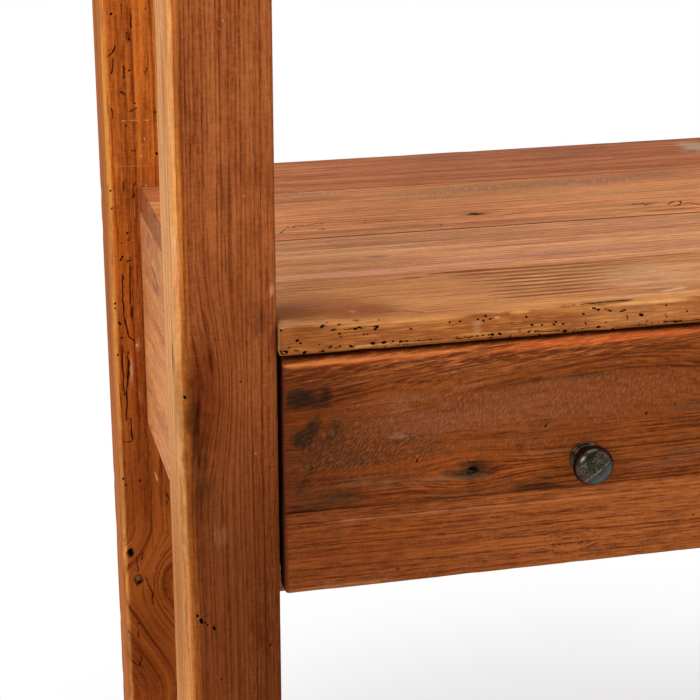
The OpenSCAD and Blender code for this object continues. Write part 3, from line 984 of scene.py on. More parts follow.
# The iron's cells, grit and clouds to a millimetre, and how much of each colour they show
IRON_CELLS = 0.82
IRON_GRIT = 0.85
IRON_CLOUDS = 0.16
HEAD_FADE = (0.35, 0.65)
REFLECTION_WIDTH = 9
PAINTED_GLINT_FADE = (0.54, 0.68)
PIT_FADE = (0.22, 0.5)
LINE_GRIT = (0.35, 0.5)
SHADED = 0.7
FOOT_SHADED = 0.8
SCRATCHED = 0.8
# Strengths of painted glints, pits, height and roughness: what blows add, and what there is besides
PAINTED_GLINTS = (0.5, 0.1)
PITTED = (0.85, 0.1)
IRON_HEIGHT = (0.9, 0.03)
IRON_ROUGH = (0.14, 0.25)
CELL_HEIGHT = 1.4
IRON_BUMP = (0.0004, 0.8)


def faded(value, start, end):
    """One up to start, and less from there until it is nought at end."""
    return np.clip((end - value) / (end - start), 0, 1)


def make_knob(node):
    """A turned iron knob: a foot with two beads, a neck, and a domed head with a hammered face."""
    low, high = np.array(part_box(node)) / MM
    middle = (low + high) / 2
    base = (middle[0], high[1], middle[2])
    reach = high[1] - low[1]
    head = (high[0] - low[0]) / 2
    rim = reach * HEAD_RIM
    outline = FOOT + FOOT_BEAD + UPPER_BEAD + NECK + arc(head - RIM_HALF[0], rim, RIM_HALF, -75, -4, 9)
    for turn in np.radians(np.linspace(0, 90, DOME_RINGS)):
        radius = max(0.0, head * math.cos(turn)) ** DOME_FULLNESS * head ** (1 - DOME_FULLNESS)
        lift = (reach - rim) * math.sin(turn) ** DOME_FULLNESS
        outline.append((radius, rim + lift))
    corners, faces = lathe(outline, base, KNOB_SIDES)
    away = corners - base
    across = np.abs(away @ ACROSS_SCRATCH + STRUCK_MIDDLE)
    struck = faded(across, *STRUCK_FADE) * faded(np.hypot(away[:, 0], away[:, 2]), *BLOWS_FADE)
    coarse, fine = (value_noise(corners / cell, seed) for cell, seed in zip(BLOW_CELLS, (5, 9)))
    blows = struck * (-away[:, 1] > rim) * (coarse + FINER_BLOWS * fine)
    corners[:, 1] += BLOW_DEPTH * blows
    corners[:, 1] += WAVE_DEPTH * value_noise(corners / WAVE_CELL, 3)
    mesh = mesh_from(node + "_iron", corners, faces)
    mesh.materials.append(make_iron(node))
    piece = add_object(node + "_iron", mesh)
    mesh.shade_smooth()
    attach(piece, frame["nodes"][node]["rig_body"])
    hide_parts(node)


def make_iron(node):
    """Dark iron: pits and painted glints in a band across the face, a scratch beside it, smooth beyond
    with a painted bluish reflection.
    """
    material, t, shader = new_material(node + "_iron")
    iron = {part: rgb(code) for part, code in IRON.items()}
    low, high = np.array(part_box(node)) / MM
    place = t.place()
    away = t.vec("SUBTRACT", place, tuple((low + high) / 2))
    depth = t.parts(away)["Y"]
    face = t.ease(depth, *FACE_DEPTHS, 1.0, 0.0)
    across = t.vec("DOT_PRODUCT", away, ACROSS_SCRATCH)
    far = t.vec("LENGTH", t.vec("MULTIPLY", away, (1.0, 0.0, 1.0)))
    inside = t.math("MULTIPLY", t.ease(far, *FACE_FADE, 1.0, 0.0), face)
    band = t.ease(t.math("ABSOLUTE", t.math("ADD", across, STRUCK_MIDDLE)), *STRUCK_FADE, 1.0, 0.0)
    struck = t.math("MULTIPLY", band, inside)
    cells = t.add("ShaderNodeTexVoronoi", {"Vector": place, "Scale": IRON_CELLS}).outputs["Distance"]
    grit = t.noise(place, 2, 0.6, scale=IRON_GRIT)
    cloud = t.noise(place, 3, 0.6, scale=IRON_CLOUDS)

    def where_struck(more, least):
        """A strength that is greater where the hammer struck."""
        return t.math("MULTIPLY_ADD", struck, more, least)

    colour = t.mix(t.ease(cloud, *HEAD_FADE), iron["head"], iron["head_dark"])
    # Beyond the scratch the colour turns bluish: a painted reflection
    beyond = t.math("MULTIPLY", t.ease(across, SCRATCH, SCRATCH + REFLECTION_WIDTH), face)
    colour = t.mix(beyond, colour, t.mix(cloud, iron["bright"], iron["bright_dark"]))
    colour = t.mix(t.ease(depth, *SHADE_DEPTHS, 0.0, SHADED), colour, iron["shade"])
    # Painted glints: pale specks where the hammer struck
    shine = t.math("MULTIPLY", t.ease(grit, *PAINTED_GLINT_FADE), where_struck(*PAINTED_GLINTS))
    colour = t.mix(shine, colour, iron["rubbed"])
    pits = t.math("MULTIPLY", t.ease(cells, *PIT_FADE, 1.0, 0.0), where_struck(*PITTED))
    colour = t.mix(pits, colour, iron["pit"])
    line = t.ease(t.math("ABSOLUTE", t.math("SUBTRACT", across, SCRATCH)), *SCRATCH_FADE, 1.0, 0.0)
    line = t.math("MULTIPLY", t.math("MULTIPLY", line, inside), t.ease(grit, *LINE_GRIT))
    colour = t.mix(t.math("MULTIPLY", line, SCRATCHED), colour, iron["scratch"])
    # Painted shade on the foot, behind the head
    colour = t.mix(t.ease(depth, *FOOT_SHADE_DEPTHS, 0.0, FOOT_SHADED), colour, iron["foot"])
    height = t.math("MULTIPLY_ADD", cells, CELL_HEIGHT, grit)
    height = t.math("MULTIPLY", height, where_struck(*IRON_HEIGHT))
    t.feed_all(shader, {"Base Color": colour, "Metallic": 1.0, "Roughness": where_struck(*IRON_ROUGH),
                        "Normal": t.bump(height, *IRON_BUMP)})
    return material


# Plain metal and nylon: their mottling, and fine scratches by their cells to a millimetre and noise
MOTTLE_NOISE = (4, 0.65)
FINE_CELLS = (3.0, 0.3, 3.0)
FINE_NOISE = (2, 0.6)
FINE_ROUGH = 0.3
FINE_BUMP = (0.0001, 0.6)


def make_plain(name, light, dark, metal, rough, scale):
    """A screw's steel or a glide's nylon, mottled and finely scratched."""
    material, t, shader = new_material(name)
    place = t.place()
    cloud = t.noise(place, *MOTTLE_NOISE, scale=scale)
    grit = t.noise(t.vec("MULTIPLY", place, FINE_CELLS), *FINE_NOISE)
    t.feed_all(shader, {"Base Color": t.mix(cloud, rgb(light), rgb(dark)), "Metallic": metal,
                        "Roughness": t.math("MULTIPLY_ADD", grit, FINE_ROUGH, rough),
                        "Normal": t.bump(grit, *FINE_BUMP)})
    return material


# Floor and world

FLOOR_HALF = 9000
FLOOR_CORNERS = [(-1, -1, 0), (1, -1, 0), (1, 1, 0), (-1, 1, 0)]
WHITE = (1, 1, 1, 1)
FLOOR_GREY = (0.86, 0.86, 0.86, 1)
# How far from the object the floor turns white to the camera, in metres, and how white it is before
FLOOR_FADE = (0.45, 0.95)
FLOOR_LEAST = 0.55
# The world's light, and the room that gloss and glass show: dim in front of the object, white behind
WORLD_LIGHT = 0.5
ROOM_FADE = (-0.2, 0.3)
ROOM_LEAST = 0.3


def make_floor():
    """A wide floor that keeps the object's shadow and is white to the camera further out."""
    corners = np.array(FLOOR_CORNERS) * FLOOR_HALF
    mesh = mesh_from("floor", corners, [(0, 1, 2, 3)])
    material, t, shader = new_material("floor")
    t.feed_all(shader, {"Base Color": FLOOR_GREY, "Roughness": 0.8})
    glow = t.add("ShaderNodeEmission", {"Color": WHITE, "Strength": 1.0}).outputs[0]
    seen = t.add("ShaderNodeLightPath").outputs["Is Camera Ray"]
    place = t.add("ShaderNodeTexCoord").outputs["Object"]
    far = t.ease(t.vec("LENGTH", place), *FLOOR_FADE, FLOOR_LEAST, 1.0)
    nodes = material.node_tree.nodes
    plain = nodes["Principled BSDF"].outputs[0]
    mixed = t.add("ShaderNodeMixShader", {0: t.math("MULTIPLY", seen, far), 1: plain, 2: glow})
    t.feed(nodes["Material Output"].inputs["Surface"], mixed.outputs[0])
    mesh.materials.append(material)
    add_object("floor", mesh)


def make_world():
    """Plain light all round, with a white background and a dimmer room in front of the object."""
    world = bpy.data.worlds.new("world")
    scene.world = world
    world.use_nodes = True
    t = Tree(world.node_tree)
    path = t.add("ShaderNodeLightPath").outputs
    mirror = t.math("MAXIMUM", path["Is Glossy Ray"], path["Is Transmission Ray"])
    way = t.add("ShaderNodeTexCoord").outputs["Generated"]
    room = t.ease(t.parts(way)["Y"], *ROOM_FADE, ROOM_LEAST, 1.0)
    strength = t.math("MULTIPLY_ADD", mirror, t.math("SUBTRACT", room, WORLD_LIGHT), WORLD_LIGHT)
    strength = t.math("MAXIMUM", strength, path["Is Camera Ray"])
    t.feed_all(world.node_tree.nodes["Background"].inputs, {"Strength": strength, "Color": WHITE})


# Looks: colours of early and late wood and of the patina, the grain's figures, wear and gloss

LOOKS = {
    "post": dict(early="ad6233", late="692a10", stain="7b3d1a", ring=2.7, wander=6, contrast=0.5,
                 fibre=1.4, bands=1.2, ripple=0.6, fuzz=1.6, patina=0.5, edge=4.6, wear=0.5,
                 steps=(5, 3.5, 3.5), rough=0.6, gloss=0.0, bump=1.0),
    "plank": dict(early="e29d62", late="9a5a30", stain="b87a4c", ring=2.6, wander=10, contrast=0.7,
                  fibre=1.9, bands=1.8, ripple=0.3, fuzz=1.35, patina=0.5, edge=3.0, seam=0.8,
                  wear=0.7, steps=(6, 4, 4), rough=0.6, gloss=0.05, bump=1.0),
    "rail": dict(early="c98a60", late="7c4226", stain="92603c", ring=2.4, wander=9, contrast=0.6,
                 fibre=1.4, bands=1.2, ripple=0.3, fuzz=0.9, patina=0.5, edge=1.6, wear=0.6,
                 steps=(6, 5, 5), rough=0.58, gloss=0.07, bump=1.0),
    "front": dict(early="9a4e15", late="4e1c07", stain="753e15", ring=3.0, wander=7, contrast=0.45,
                  fibre=1.8, bands=1.6, ripple=0.4, fuzz=2.2, patina=0.5, edge=2.05, wear=0.5,
                  steps=(5, 3.5, 3.5), rough=0.5, gloss=0.05, bump=1.0),
    "inner": dict(early="e2bc90", late="b27e50", stain="c39566", ring=2.6, wander=9, contrast=0.5,
                  fibre=1.0, bands=0.8, ripple=0.2, fuzz=0.5, patina=0.3, edge=1.0, wear=0.3,
                  steps=(8, 6, 6), rough=0.62, gloss=0.2, bump=0.8),
}
# What the boards in the photograph have of their own, with the colours that lie along their edges
OWN = {
    "post_front_left": dict(
        pith=(210, 60), lean=(0.004, 0), ring=3.2, wander=5, seed=3.0, bands=1.5,
        sides=[
            side((0, 0, 1), 640, 850, "58280f", 0.6),
            side((1, 0, 0), -521.5, -518.5, "b4662a", 0.55),
            side((1, 0, 0), -524.5, -521.5, "c87430", 0.85),
            side((1, 0, 0), -527.4, -525, "eaa972", 0.95),
            # A painted highlight along the rounded edge between the left and front faces
            side((1, 1, 0), -734.0, -732.6, "e69c5a", 0.92),
        ]),
    "post_back_left": dict(
        early="d9772d", late="7b3513", stain="a5511b", pith=(-120, 160), lean=(-0.01, 0), ring=3.8,
        wander=12, seed=8.0, wear=0.9, bands=2.4, fibre=1.7, fuzz=1.3,
        sides=[
            side((0, 0, 1), 560, 760, "77391a", 0.5),
            side((1, 0, 0), -527.5, -525, "c97a49", 0.9),
            # A painted highlight along the rounded edge between the left and front faces
            side((1, 1, 0), -352.6, -350.4, "dc9640", 0.85),
        ]),
    "side_panel_left": dict(
        early="fbaa69", late="a9582c", stain="c97e58", pith=(60, -190), lean=(0.2, 0), ring=3.0,
        wander=14, seed=5.0, fuzz=1.6, ripple=0.9, fibre=1.5, contrast=0.4),
    "drawer_shelf_plank_back": dict(
        early="e99259", late="9b522e", stain="b27450", pith=(160, -120), lean=(0.01, 0), ring=2.5,
        wander=6, seed=11.0),
    "drawer_shelf_plank_mid_back": dict(
        early="ffb070", late="bc6c3f", stain="d09a66", pith=(-60, -90), lean=(0.02, 0), wander=8,
        seed=14.0),
    "drawer_shelf_plank_mid_front": dict(
        early="f4b078", late="b06e46", stain="ce9265", pith=(120, -110), lean=(0.01, 0), ring=2.8,
        wander=6, seed=19.0),
    "drawer_shelf_plank_front": dict(
        early="e8a566", late="9e5a2d", stain="c48a55", pith=(120, -90), lean=(0.02, 0), wander=8,
        seed=23.0, fibre=1.4, bands=1.2, contrast=0.4, fuzz=1.1,
        sides=[
            side((0, 1, 0), -212.6, -211.2, "a25c2b", 0.95),
            # Painted shade under the plank and along the lowest edge of its front face
            side((0, 0, 1), 765, 767, "5c3014", 0.6),
        ]),
    "drawer_left_front_upper": dict(
        early="9a4e1a", late="50200a", stain="753e18", pith=(60, 90), lean=(0.05, 0), wander=10,
        seed=31.0, fibre=2.0, contrast=0.5, fuzz=2.4,
        sides=[
            side((1, 0, 0), -440, -350, "4c1d05", 0.65),
            # Painted shade on the front's left end, seen in the gap beside the post
            side((1, 0, 0), -456.4, -454.2, "7c3214", 0.9),
        ]),
    "drawer_left_front_lower": dict(
        early="ab5e2a", late="58240b", stain="8b481e", pith=(20, -230), lean=(0.004, 0), ring=3.4,
        wander=4, seed=37.0, contrast=0.55,
        sides=[
            side((1, 0, 0), -440, -240, "5e2405", 0.55),
            # Painted shade on the front's left end, seen in the gap beside the post
            side((1, 0, 0), -456.4, -454.2, "7c3214", 0.9),
        ]),
}
# The stain of the drawer fronts runs over onto the ends of the drawer sides, whose darkness there is also
# painted shade of the gap beside the post
STAINED_AND_SHADED_ENDS = [("front", side((0, 1, 0), -186, -182, "3c1408", 0.95))]
SLOT_KIND = {"post_wood": "post", "plank_wood": "plank", "rail_wood": "rail",
             "front_wood": "front", "inner_wood": "inner"}

# Marks seen in the photograph: places are its pixels, and reaches, widths and radii millimetres
MARKS = {
    ("post_front_left", "front"): [
        # Grain and dark wood round a knot at the left edge
        bend((187, 392), (100, 44), 0.86),
        stain((203, 400), (66, 26), "5e2308", 0.72, 0.9, 0.95),
        stain((192, 505), (70, 12), "4c1e0a", 0.5, 1.1, 0.9),
        stain((195, 430), (46, 12), "3e1d0e", 0.72, 1.4, 0.85),
        streak((198, 398), (199, 472), 3.4, "341607", 0.55),
        stain((203, 489), (28, 11), "44200f", 0.55, 1.6, 0.9),
        # Small dark patches and lines
        stain((263, 321), (16, 10), "4a281b", 0.55, 1.6, 0.9),
        streak((267, 265), (266, 294), 2.2, "431d0e", 0.55),
        streak((224.8, 228), (226, 281), 0.9, "351608", 0.85),
        stain((226, 200), (30, 5), "5a3216", 0.4, 1.4, 0.9),
        stain((211, 362), (17, 3), "541f09", 0.7, 1.2, 0.8),
        stain((196, 533), (9, 5), "742c12", 0.6, 1.6, 0.8),
        stain((220, 537), (10, 6), "93664c", 0.35, 2.4, 0.8),
        stain((258, 625), (32, 5), "4b2210", 0.5, 1.4, 0.9),
        stain((240, 610), (150, 64), "5c2b12", 0.4, 0.8, 1),
        # Pale flecks, then long faint stains
        stain((222.9, 20.5), (0.9, 0.6), "cf9468", 0.8, 0.4, 0.6),
        stain((219.4, 28.9), (0.9, 0.6), "cf9468", 0.8, 0.4, 0.6),
        stain((243.9, 195.8), (0.8, 0.6), "c79a78", 0.7, 0.4, 0.6),
        stain((255.6, 453.7), (0.8, 0.6), "d0a486", 0.8, 0.4, 0.6),
        stain((271.8, 290), (7, 2), "c0916a", 0.6, 1, 0.7),
        stain((178, 90), (60, 6), "7c3a1c", 0.5, 1.2, 0.9),
        stain((232, 640), (60, 3), "5a3014", 0.4, 1.2, 0.9),
        *holes(
            (184.8, 397.5, 0.9), (197.6, 616, 1), (201.5, 621.3, 1.4), (205.2, 622.8, 0.7),
            (207.6, 625, 0.6), (214.2, 628.4, 0.9), (270.2, 645.2, 0.6), (221.6, 679.7, 0.6),
            (240.5, 381.6, 0.5)),
    ],
    ("post_front_left", "left"): [
        stain((172.6, 358), (16, 2.8), "7a4330", 0.9, 0.8, 0.5),
        stain((163, 92), (46, 9), "ac613c", 0.55, 1.2, 0.9),
        stain((161, 300), (70, 6), "b9714a", 0.4, 1.2, 0.9),
        stain((155, 40), (80, 6), "c46c38", 0.85, 0.8, 0.9),
        stain((157, 160), (80, 5), "b8642f", 0.8, 0.8, 0.9),
        stain((178, 600), (170, 60), "c07640", 0.85, 0.8, 1),
        stain((166, 460), (70, 9), "b8744a", 0.6, 0.8, 1),
    ],
    ("post_back_left", "front"): [
        # Worm tracks and the stains beside them, from the top down
        track((130.5, 10.3, 0.25), (131, 20, 0.45), (131.2, 27.5, 0.9)),
        stain((127.8, 36), (7, 3.4), "5a1f08", 0.75, 2.2, 0.7),
        streak((124.6, 42.5), (120.2, 61.6), 1, "7a2c0a", 0.8),
        track((115.1, 46.6, 1.1), (112.9, 52.8, 0.8), (107.9, 56.6, 0.25)),
        track((112.9, 58.7, 0.2), (113, 68, 0.3), (111.4, 74.1, 0.9)),
        track((123.4, 66.9, 0.8), (123.8, 72, 0.7), (124.2, 78.2, 1)),
        track((119.8, 92.4, 1.1), (122, 91.6, 0.9), (125, 95.2, 0.4)),
        streak((111.1, 92.4), (111.1, 98.3), 1, "63250b", 0.7),
        track((111.8, 108, 0.8), (112.2, 113, 0.6), (112.9, 118.6, 0.8)),
        track((136.4, 107.4, 0.8), (134, 110.4, 0.9), (129.7, 111.5, 0.3)),
        streak((148.4, 55.5), (147.2, 67.5), 0.9, "54190a", 0.8),
        track((147.2, 67.5, 0.3), (146, 73.3, 0.6)),
        # A pale scratch across, in three pieces
        streak((120.2, 121), (127, 120.6), 1.1, "e6b078", 0.7),
        streak((130, 120.4), (138, 120.2), 1.1, "e6b078", 0.7),
        streak((143.5, 120.4), (149, 120.2), 1.2, "e6b078", 0.75),
        # Tracks, flecks and scratches below it
        track((131.2, 150.6, 0.7), (135.6, 150.8, 0.5)),
        stain((144.4, 138.5), (2, 0.7), "e3c3a4", 0.8, 1.2, 0.6),
        stain((143, 145), (2.4, 0.6), "dcae84", 0.7, 1.4, 0.6),
        stain((141.6, 156), (1.4, 0.7), "dcb490", 0.7, 1.2, 0.6),
        stain((146, 185.5), (1.2, 0.9), "e8c8a0", 0.8, 1, 0.6),
        streak((113, 166.3), (150, 166), 0.8, "e0a068", 0.55),
        streak((143, 137), (143.5, 150), 0.8, "5b1c08", 0.6),
        track((123.6, 182, 0.3), (124, 186, 0.6), (123.9, 191, 0.4)),
        track((136, 182.6, 0.4), (134, 185, 0.6), (133.4, 198, 0.8)),
        streak((134.1, 201), (135, 221), 1.5, "d9a274", 0.5),
        stain((140, 184), (20, 11), "a3512c", 0.45, 1.8, 0.9),
        stain((118, 250), (60, 9), "b35c14", 0.35, 1, 0.9),
        # The long tracks
        track((126.8, 261.6, 0.7), (131.2, 260, 0.5)),
        track(
            (122.4, 274.7, 1), (122.2, 290, 0.4), (123.9, 309.2, 0.7), (125.3, 321, 0.9),
            (129, 337, 0.6), (134.9, 340.8, 1)),
        track((129.7, 265.2, 0.3), (130, 285, 0.6), (130.2, 303.3, 0.5)),
        stain((132, 312), (9, 2.2), "3c1205", 0.8, 1.6, 0.7),
        track((132.6, 306, 0.4), (132.9, 318, 0.5)),
        track((122.6, 345.9, 0.8), (122.4, 357.6, 0.9), (123.4, 384, 0.7), (124.6, 395.8, 1.1)),
        track((128.3, 351.8, 0.7), (129, 373.8, 1.1), (126.8, 388.4, 0.9), (126.8, 420.7, 0.5)),
        track((118, 367.9, 0.3), (120.9, 403.1, 0.5), (121.7, 439.8, 0.7)),
        track((131.2, 417.8, 0.4), (132.7, 439.8, 0.9)),
        track((121, 441.2, 0.7), (127, 442.4, 0.5), (132.7, 441, 0.7)),
        # Rubbed and reddish patches beside them
        streak((137.8, 275), (138, 330), 1.4, "d38a4c", 0.6),
        stain((138, 345), (12, 3.4), "d09468", 0.5, 2.4, 0.7),
        stain((131.4, 375), (14, 2.4), "dba27a", 0.5, 2.6, 0.6),
        stain((140.5, 400), (14, 4), "d09068", 0.45, 2.4, 0.7),
        stain((139, 407), (16, 7), "8c2f0c", 0.6, 1.3, 0.9),
        stain((142, 495), (70, 26), "853c14", 0.6, 1.1, 0.9),
        stain((126, 400), (60, 12), "a5561c", 0.35, 1, 0.9),
        stain((136.8, 345), (3, 1.6), "e6c6a6", 0.7, 1.8, 0.6),
        streak((154.6, 471.5), (157.7, 481), 1.6, "d9a67c", 0.7),
        track((166.9, 492.9, 0.7), (168.9, 499.8, 0.5), (166.9, 504.4, 0.7)),
        streak((150.8, 470), (152.6, 552), 1.1, "50200a", 0.65),
        # Two dark pits, and the tracks round and below them
        stain((130.9, 553.4), (6, 4.2), "1d0d05", 0.9, 1.5, 0.6),
        stain((130.2, 567), (5, 3), "96442a", 0.6, 1.6, 0.7),
        track((136.8, 557, 0.4), (138, 571.7, 0.6)),
        track((143.6, 552, 0.5), (141.5, 560, 0.5)),
        stain((138.4, 580), (6.4, 4.6), "2e1407", 0.9, 1, 0.35),
        stain((138.2, 578.6), (3.8, 2.6), "8d5a34", 0.8, 0.6, 0.5),
        track((145.5, 577.1, 0.8), (149, 586, 0.5), (152.4, 591.6, 1.1), (153.9, 603.9, 0.5)),
        track((138.6, 629.9, 0.5), (139, 637.6, 0.9)),
        track((141.8, 656.5, 0.6), (139.3, 666.6, 1.1)),
        track((130.2, 652.9, 0.4), (133, 661, 0.6), (137, 665.1, 0.5)),
        # Grain round the pits, and aslant below them
        bend((132, 566), (70, 36), 0.7),
        slant((150, 640), (120, 60), -0.55),
        stain((150, 640), (90, 40), "6a2c0e", 0.5, 1, 0.9),
        *holes(
            (111.1, 13.9, 1), (120.9, 5.1, 0.5), (129, 39, 0.8), (126.6, 33, 0.5), (129.2, 70.4, 0.95),
            (134.6, 103.4, 0.8), (145.6, 8.6, 0.5), (155.2, 112.2, 0.8), (126.1, 125.7, 0.8),
            (156.9, 153.7, 1), (110.7, 191, 0.8), (111.8, 208.7, 0.7), (127.2, 233.2, 0.8),
            (121.4, 243.2, 0.6), (128.2, 240.2, 0.5), (122.4, 257.1, 1), (120.6, 259.8, 0.9),
            (115.1, 304, 0.8), (115.1, 308.5, 0.8), (119.9, 323.4, 1), (122.4, 337.8, 0.7),
            (118, 355.4, 0.8), (123.3, 479.1, 1), (140.1, 480.7, 0.8), (126, 485.3, 0.7),
            (131, 552.6, 2.2), (139.6, 582, 1.5), (138.6, 623.8, 0.8), (129, 633, 0.5)),
    ],
    ("post_back_left", "left"): [
        stain((108, 300), (300, 30), "9c6248", 0.3, 1, 1),
    ],
    ("side_panel_left", "left"): [
        # A pale band and the dark marks below it
        stain((157, 209), (40, 13), "a8552a", 0.75, 1.2, 0.8),
        streak((143.6, 202), (152.4, 218.5), 9, "f3c498", 1),
        streak((146.6, 203), (157, 224), 5, "e9b080", 0.8),
        streak((147.6, 220), (155.6, 241), 8, "8a5c42", 0.6),
        streak((153, 238), (160, 276), 8, "946a50", 0.6),
        streak((151.3, 265.7), (155.6, 278.5), 4, "6e3826", 1),
        streak((155.6, 278.5), (158.6, 296), 4.6, "5f2e20", 1),
        streak((152, 262), (157.4, 281), 2.4, "e6b088", 0.7),
        stain((149.6, 253.3), (7, 2), "e8b284", 0.8, 1.8, 0.7),
        stain((156.5, 228), (9, 4), "dc9a64", 0.6, 2.2, 0.8),
        stain((146.5, 240), (26, 6), "a8603a", 0.5, 2, 0.9),
        stain((147.5, 272), (30, 8), "a66342", 0.5, 2, 0.9),
        sawn((150, 250), (130, 60), 68, 2.6, 5, "eab48a", 0.7),
        stain((154.6, 288), (34, 5), "6e4337", 0.6, 1.9, 0.8),
        # Long scratches aslant
        streak((145.5, 378), (167.9, 440), 1.1, "87401f", 0.8),
        streak((147.6, 375), (168.2, 429), 0.8, "9c5230", 0.7),
        streak((144.2, 346), (168, 410), 1, "e3a573", 0.7),
        streak((146, 352), (168, 404), 0.8, "8f4a2c", 0.5),
        stain((150, 240), (40, 8), "a8694a", 0.4, 2, 0.9),
        stain((160, 420), (60, 14), "b8714b", 0.4, 1.2, 0.9),
    ],
    ("drawer_shelf_plank_back", "top"): [
        stain((430, 158), (60, 16), "a06a52", 0.5, 1.8, 0.9),
        streak((285, 178), (340, 174), 3.8, "934628", 0.6),
        streak((320, 169.4), (400, 163.6), 3.4, "9a4c2c", 0.5),
        stain((548, 150), (60, 14), "a1644e", 0.45, 1.8, 0.9),
        streak((480, 170.6), (700, 151), 2.9, "93482b", 0.6),
        streak((590, 161.5), (700, 152), 2.2, "7e3a22", 0.5),
        # A pale patch at the edge of the picture
        stain((696, 147), (18, 26), "dcc3ab", 0.8, 1.2, 0.7),
        stain((684, 151.5), (10, 7), "d4b496", 0.5, 1.6, 0.8),
        streak((520, 160), (560, 157), 2.4, "b98468", 0.5),
    ],
    ("drawer_shelf_plank_mid_back", "top"): [
        # The knot
        bend((475.5, 214), (60, 22), 0.6),
        stain((475.5, 213.9), (9, 3.6), "241006", 0.97, 0.7, 0.35),
        stain((476, 214), (22, 7), "8f5028", 0.6, 1.2, 0.8),
        crack(
            (280.8, 232.7, 0.6), (284.5, 229.5, 0.5), (288.2, 228, 0.6), (292, 227.6, 0.3),
            (296.4, 225.2, 0.5), (304.9, 225.4, 0.4), (315, 223.5, 0.5), (326.1, 222.5, 0.6)),
        # Dark marks that go on from the crack
        streak((326, 222.6), (398.3, 218.7), 2.4, "8c3f22", 0.8),
        stain((385, 220.8), (16, 2.6), "8a4a30", 0.6, 1.6, 0.8),
        stain((322, 229), (5, 3), "93492a", 0.6, 1.6, 0.8),
        stain((426, 220.7), (3, 2), "8a4a2c", 0.5, 1.6, 0.8),
        # Broad red, pale and grey bands
        streak((278, 217), (420, 205.6), 6.2, "b2562f", 0.45),
        stain((370, 229), (90, 16), "eaa270", 0.6, 1.1, 0.9),
        streak((278, 213), (500, 197.2), 3.8, "c4683e", 0.5),
        streak((420, 207.4), (540, 199), 3.1, "b55a38", 0.45),
        streak((290, 221.5), (420, 211), 3.8, "dc9566", 0.5),
        stain((404, 212.8), (12, 5), "dca27e", 0.5, 2, 0.8),
        stain((300, 200), (60, 13), "9c6a4a", 0.5, 2, 0.9),
        stain((450, 191), (100, 15), "d69a6a", 0.75, 1.2, 0.9),
        stain((575, 182), (120, 16), "c69064", 0.75, 1.1, 0.9),
        stain((300, 194.5), (30, 5), "a88468", 0.5, 2.2, 0.8),
        stain((650, 174), (60, 16), "9c6c4c", 0.45, 1.8, 0.9),
        # Saw scratches
        sawn((585, 182), (90, 16), 62, 2.6, 5, "d6a67a", 0.75),
        sawn((300, 195), (60, 12), 80, 2.6, 5, "cf9a72", 0.6),
        sawn((470, 190), (90, 14), 70, 2.6, 5, "d8aa7e", 0.65),
        # Worm tracks at the right, and the lines below them
        stain((640, 203.7), (17, 4.6), "8a5a3c", 0.6, 1.8, 0.8),
        track(
            (668, 204.4, 0.6), (671, 202, 0.9), (675, 201.2, 0.7), (680, 201, 1.1), (681.6, 203, 1),
            (678, 205.2, 0.8), (673, 205.6, 0.6)),
        track((683, 203, 0.5), (690, 202.6, 0.8), (698, 204.4, 0.5), (704, 204.8, 0.9)),
        streak((640, 211.6), (704, 207), 7.2, "9a5228", 0.7),
        streak((600, 215), (640, 212), 2.4, "a6612f", 0.6),
        streak((585, 211.4), (600, 210.4), 3.4, "dfb078", 0.6),
        streak((600, 210.6), (613, 209.6), 2.4, "d9aa72", 0.5),
        stain((634, 191), (2, 1.5), "e2c3ae", 0.7, 1, 0.7),
        *holes(
            (474, 213.7, 1.9), (280.9, 232.6, 0.9), (288, 226.6, 0.9), (323, 228.6, 0.8),
            (440.8, 224.7, 1), (364.6, 221.8, 0.7), (513, 212.4, 0.6), (633.6, 203.8, 0.9),
            (637, 203.2, 0.7), (642.5, 203, 0.9), (646, 204.8, 1.2), (648.4, 203.3, 0.8),
            (651.5, 202.8, 0.6), (658.6, 210, 0.8)),
    ],
    ("drawer_shelf_plank_mid_front", "top"): [
        # Broad pale and pink bands
        stain((300, 262), (50, 22), "d69052", 0.5, 1.2, 0.9),
        streak((278, 266.4), (360, 256.2), 3.6, "e3a468", 0.7),
        streak((278, 281.5), (400, 271), 21.6, "e09a7a", 0.5),
        stain((345, 250), (110, 34), "f2b480", 0.6, 0.9, 1),
        streak((360, 272.6), (520, 257.8), 24, "d8967a", 0.5),
        streak((480, 258.8), (700, 241.8), 14.4, "cf9078", 0.45),
        # A pale fleck, and thin lines
        stain((390.2, 250.1), (1.4, 1.4), "ecd6c6", 0.95, 0.3, 0.5),
        stain((376, 256.6), (14, 3), "84605c", 0.7, 1.6, 0.8),
        streak((371.3, 277.2), (393, 275.2), 3.1, "7c3d22", 0.9),
        streak((430, 250.5), (600, 238.4), 3.8, "9f5636", 0.55),
        streak((480, 247), (560, 241.4), 2.4, "8e4a2a", 0.6),
        streak((500, 250.8), (700, 237), 2.2, "d9a67c", 0.6),
        streak((440, 262), (700, 244), 3.4, "dcab84", 0.4),
        streak((311, 238), (345, 235.4), 2.9, "dcae90", 0.6),
        streak((470, 244.8), (640, 233.6), 1.9, "a05c38", 0.5),
    ],
    ("drawer_shelf_plank_front", "top"): [
        # The sawn patch with its even dark lines
        stain((545, 276), (64, 34), "e0a468", 0.6, 1.1, 0.8),
        stain((540, 301), (52, 12), "dc9850", 0.7, 1.1, 0.9),
        stain((470, 290), (34, 24), "c98450", 0.5, 1, 0.9),
        stain((548, 277), (100, 32), "d4955a", 0.8, 0.8, 0.6),
        sawn((547, 277), (100, 36), 0, 3, 16, "e2ac70", 1.4),
        *fan(((440, 273), (644, 258.8)), ((496, 298.4), (616, 288.4)), 9, 4.2, "8c440e", 0.95),
        streak((432, 274), (560, 265), 3.4, "824012", 0.9),
        streak((604, 291), (681, 288), 3.2, "8a4a1c", 0.7),
        # The darker left end
